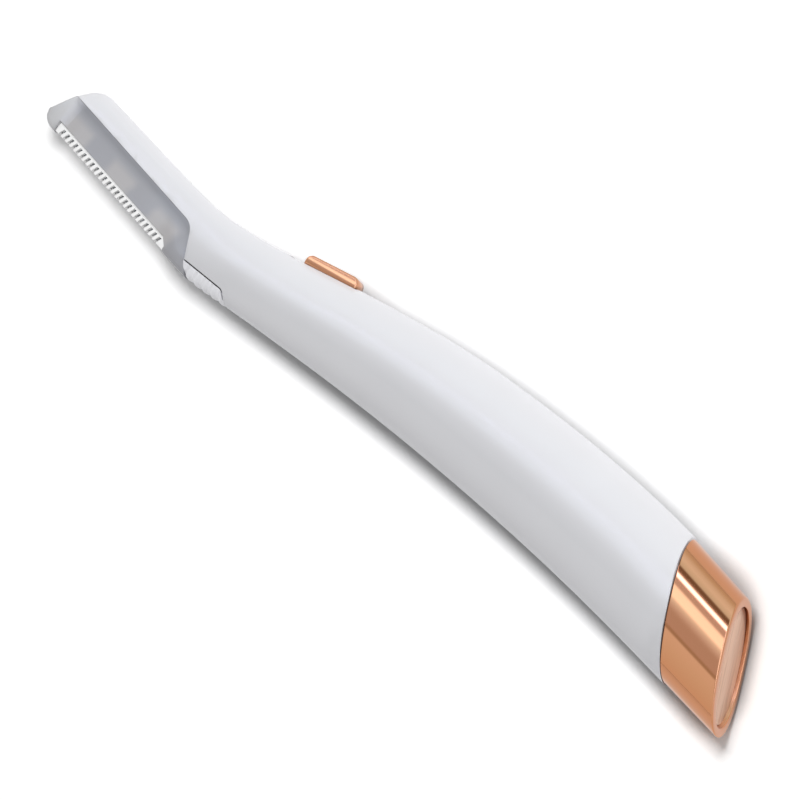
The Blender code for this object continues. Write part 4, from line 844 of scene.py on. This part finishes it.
world = bpy.data.worlds.new("studio")
bpy.context.scene.world = world
world.use_nodes = True
tree = world.node_tree
rays, seen = looking(tree)
way = tree.nodes.new('ShaderNodeTexCoord')
split = tree.nodes.new('ShaderNodeSeparateXYZ')
tree.links.new(way.outputs["Generated"], split.inputs[0])
angle = tree.nodes.new('ShaderNodeMath')
angle.operation = 'ARCTAN2'
tree.links.new(split.outputs["Y"], angle.inputs[0])
tree.links.new(split.outputs["Z"], angle.inputs[1])
share = tree.nodes.new('ShaderNodeMath')
share.operation = 'MULTIPLY_ADD'
share.inputs[1].default_value = 1 / (2 * math.pi)
share.inputs[2].default_value = 0.5
tree.links.new(angle.outputs[0], share.inputs[0])
bands = tree.nodes.new('ShaderNodeValToRGB')
ramp = bands.color_ramp
while len(ramp.elements) < len(STUDIO_BANDS):
    ramp.elements.new(0.5)
for element, (degrees, colour) in zip(ramp.elements, STUDIO_BANDS):
    element.position = degrees / 360 + 0.5
    element.color = (*(c / BAND_LIMIT for c in colour), 1)
tree.links.new(share.outputs[0], bands.inputs[0])
gain = tree.nodes.new('ShaderNodeVectorMath')
gain.operation = 'SCALE'
gain.inputs["Scale"].default_value = BAND_LIMIT
tree.links.new(bands.outputs[0], gain.inputs[0])
first_look = tree.nodes.new('ShaderNodeMath')
first_look.operation = 'SUBTRACT'
first_look.use_clamp = True
tree.links.new(rays.outputs["Is Glossy Ray"], first_look.inputs[0])
tree.links.new(rays.outputs["Diffuse Depth"], first_look.inputs[1])
pick = tree.nodes.new('ShaderNodeMix')
pick.data_type = 'RGBA'
pick.inputs[6].default_value = (SKY_LIGHT, SKY_LIGHT, SKY_LIGHT, 1)
tree.links.new(first_look.outputs[0], pick.inputs[0])
tree.links.new(gain.outputs[0], pick.inputs[7])
show = tree.nodes.new('ShaderNodeMix')
show.data_type = 'RGBA'
show.inputs[7].default_value = (1, 1, 1, 1)
tree.links.new(seen, show.inputs[0])
tree.links.new(pick.outputs[2], show.inputs[6])
tree.links.new(show.outputs[2], tree.nodes["Background"].inputs["Color"])


def softbox(name, degrees, distance, size, strength):
    """Square lamp at an angle about the shaver's length. Strength 1 lights white to full white."""
    lamp = bpy.data.lights.new(name, 'AREA')
    lamp.shape = 'SQUARE'
    lamp.size = size
    lamp.energy = strength * (math.pi * distance)**2
    holder = bpy.data.objects.new(name, lamp)
    holder.visible_camera = holder.visible_glossy = False
    bpy.context.scene.collection.objects.link(holder)
    place = Vector((0, math.sin(math.radians(degrees)), math.cos(math.radians(degrees)))) * distance
    holder.matrix_world = (Matrix.Translation(place)
                           @ place.to_track_quat('Z', 'Y').to_matrix().to_4x4())
    return holder


softbox("overhead_lamp", 11, distance=1.0, size=0.28, strength=0.36)
shaver_pieces = [thing for thing in bpy.context.scene.objects
                 if thing.type == 'MESH' and thing is not table]
edge_pieces = [thing for thing in shaver_pieces if thing is nodes["blade"]
               or thing.name.startswith(("comb_guard", "cartridge_frame"))]
for name, degrees, strength, lit in (("back_lamp", 76, 0.56, shaver_pieces),
                                     ("front_lamp", -45, 0.21, shaver_pieces),
                                     ("edge_lamp", -42, 0.24, edge_pieces)):
    pieces = bpy.data.collections.new("lit_by_" + name)
    for thing in lit:
        pieces.objects.link(thing)
    holder = softbox(name, degrees, distance=1.2, size=0.5, strength=strength)
    holder.light_linking.receiver_collection = pieces

bpy.context.scene.view_settings.view_transform = 'Standard'
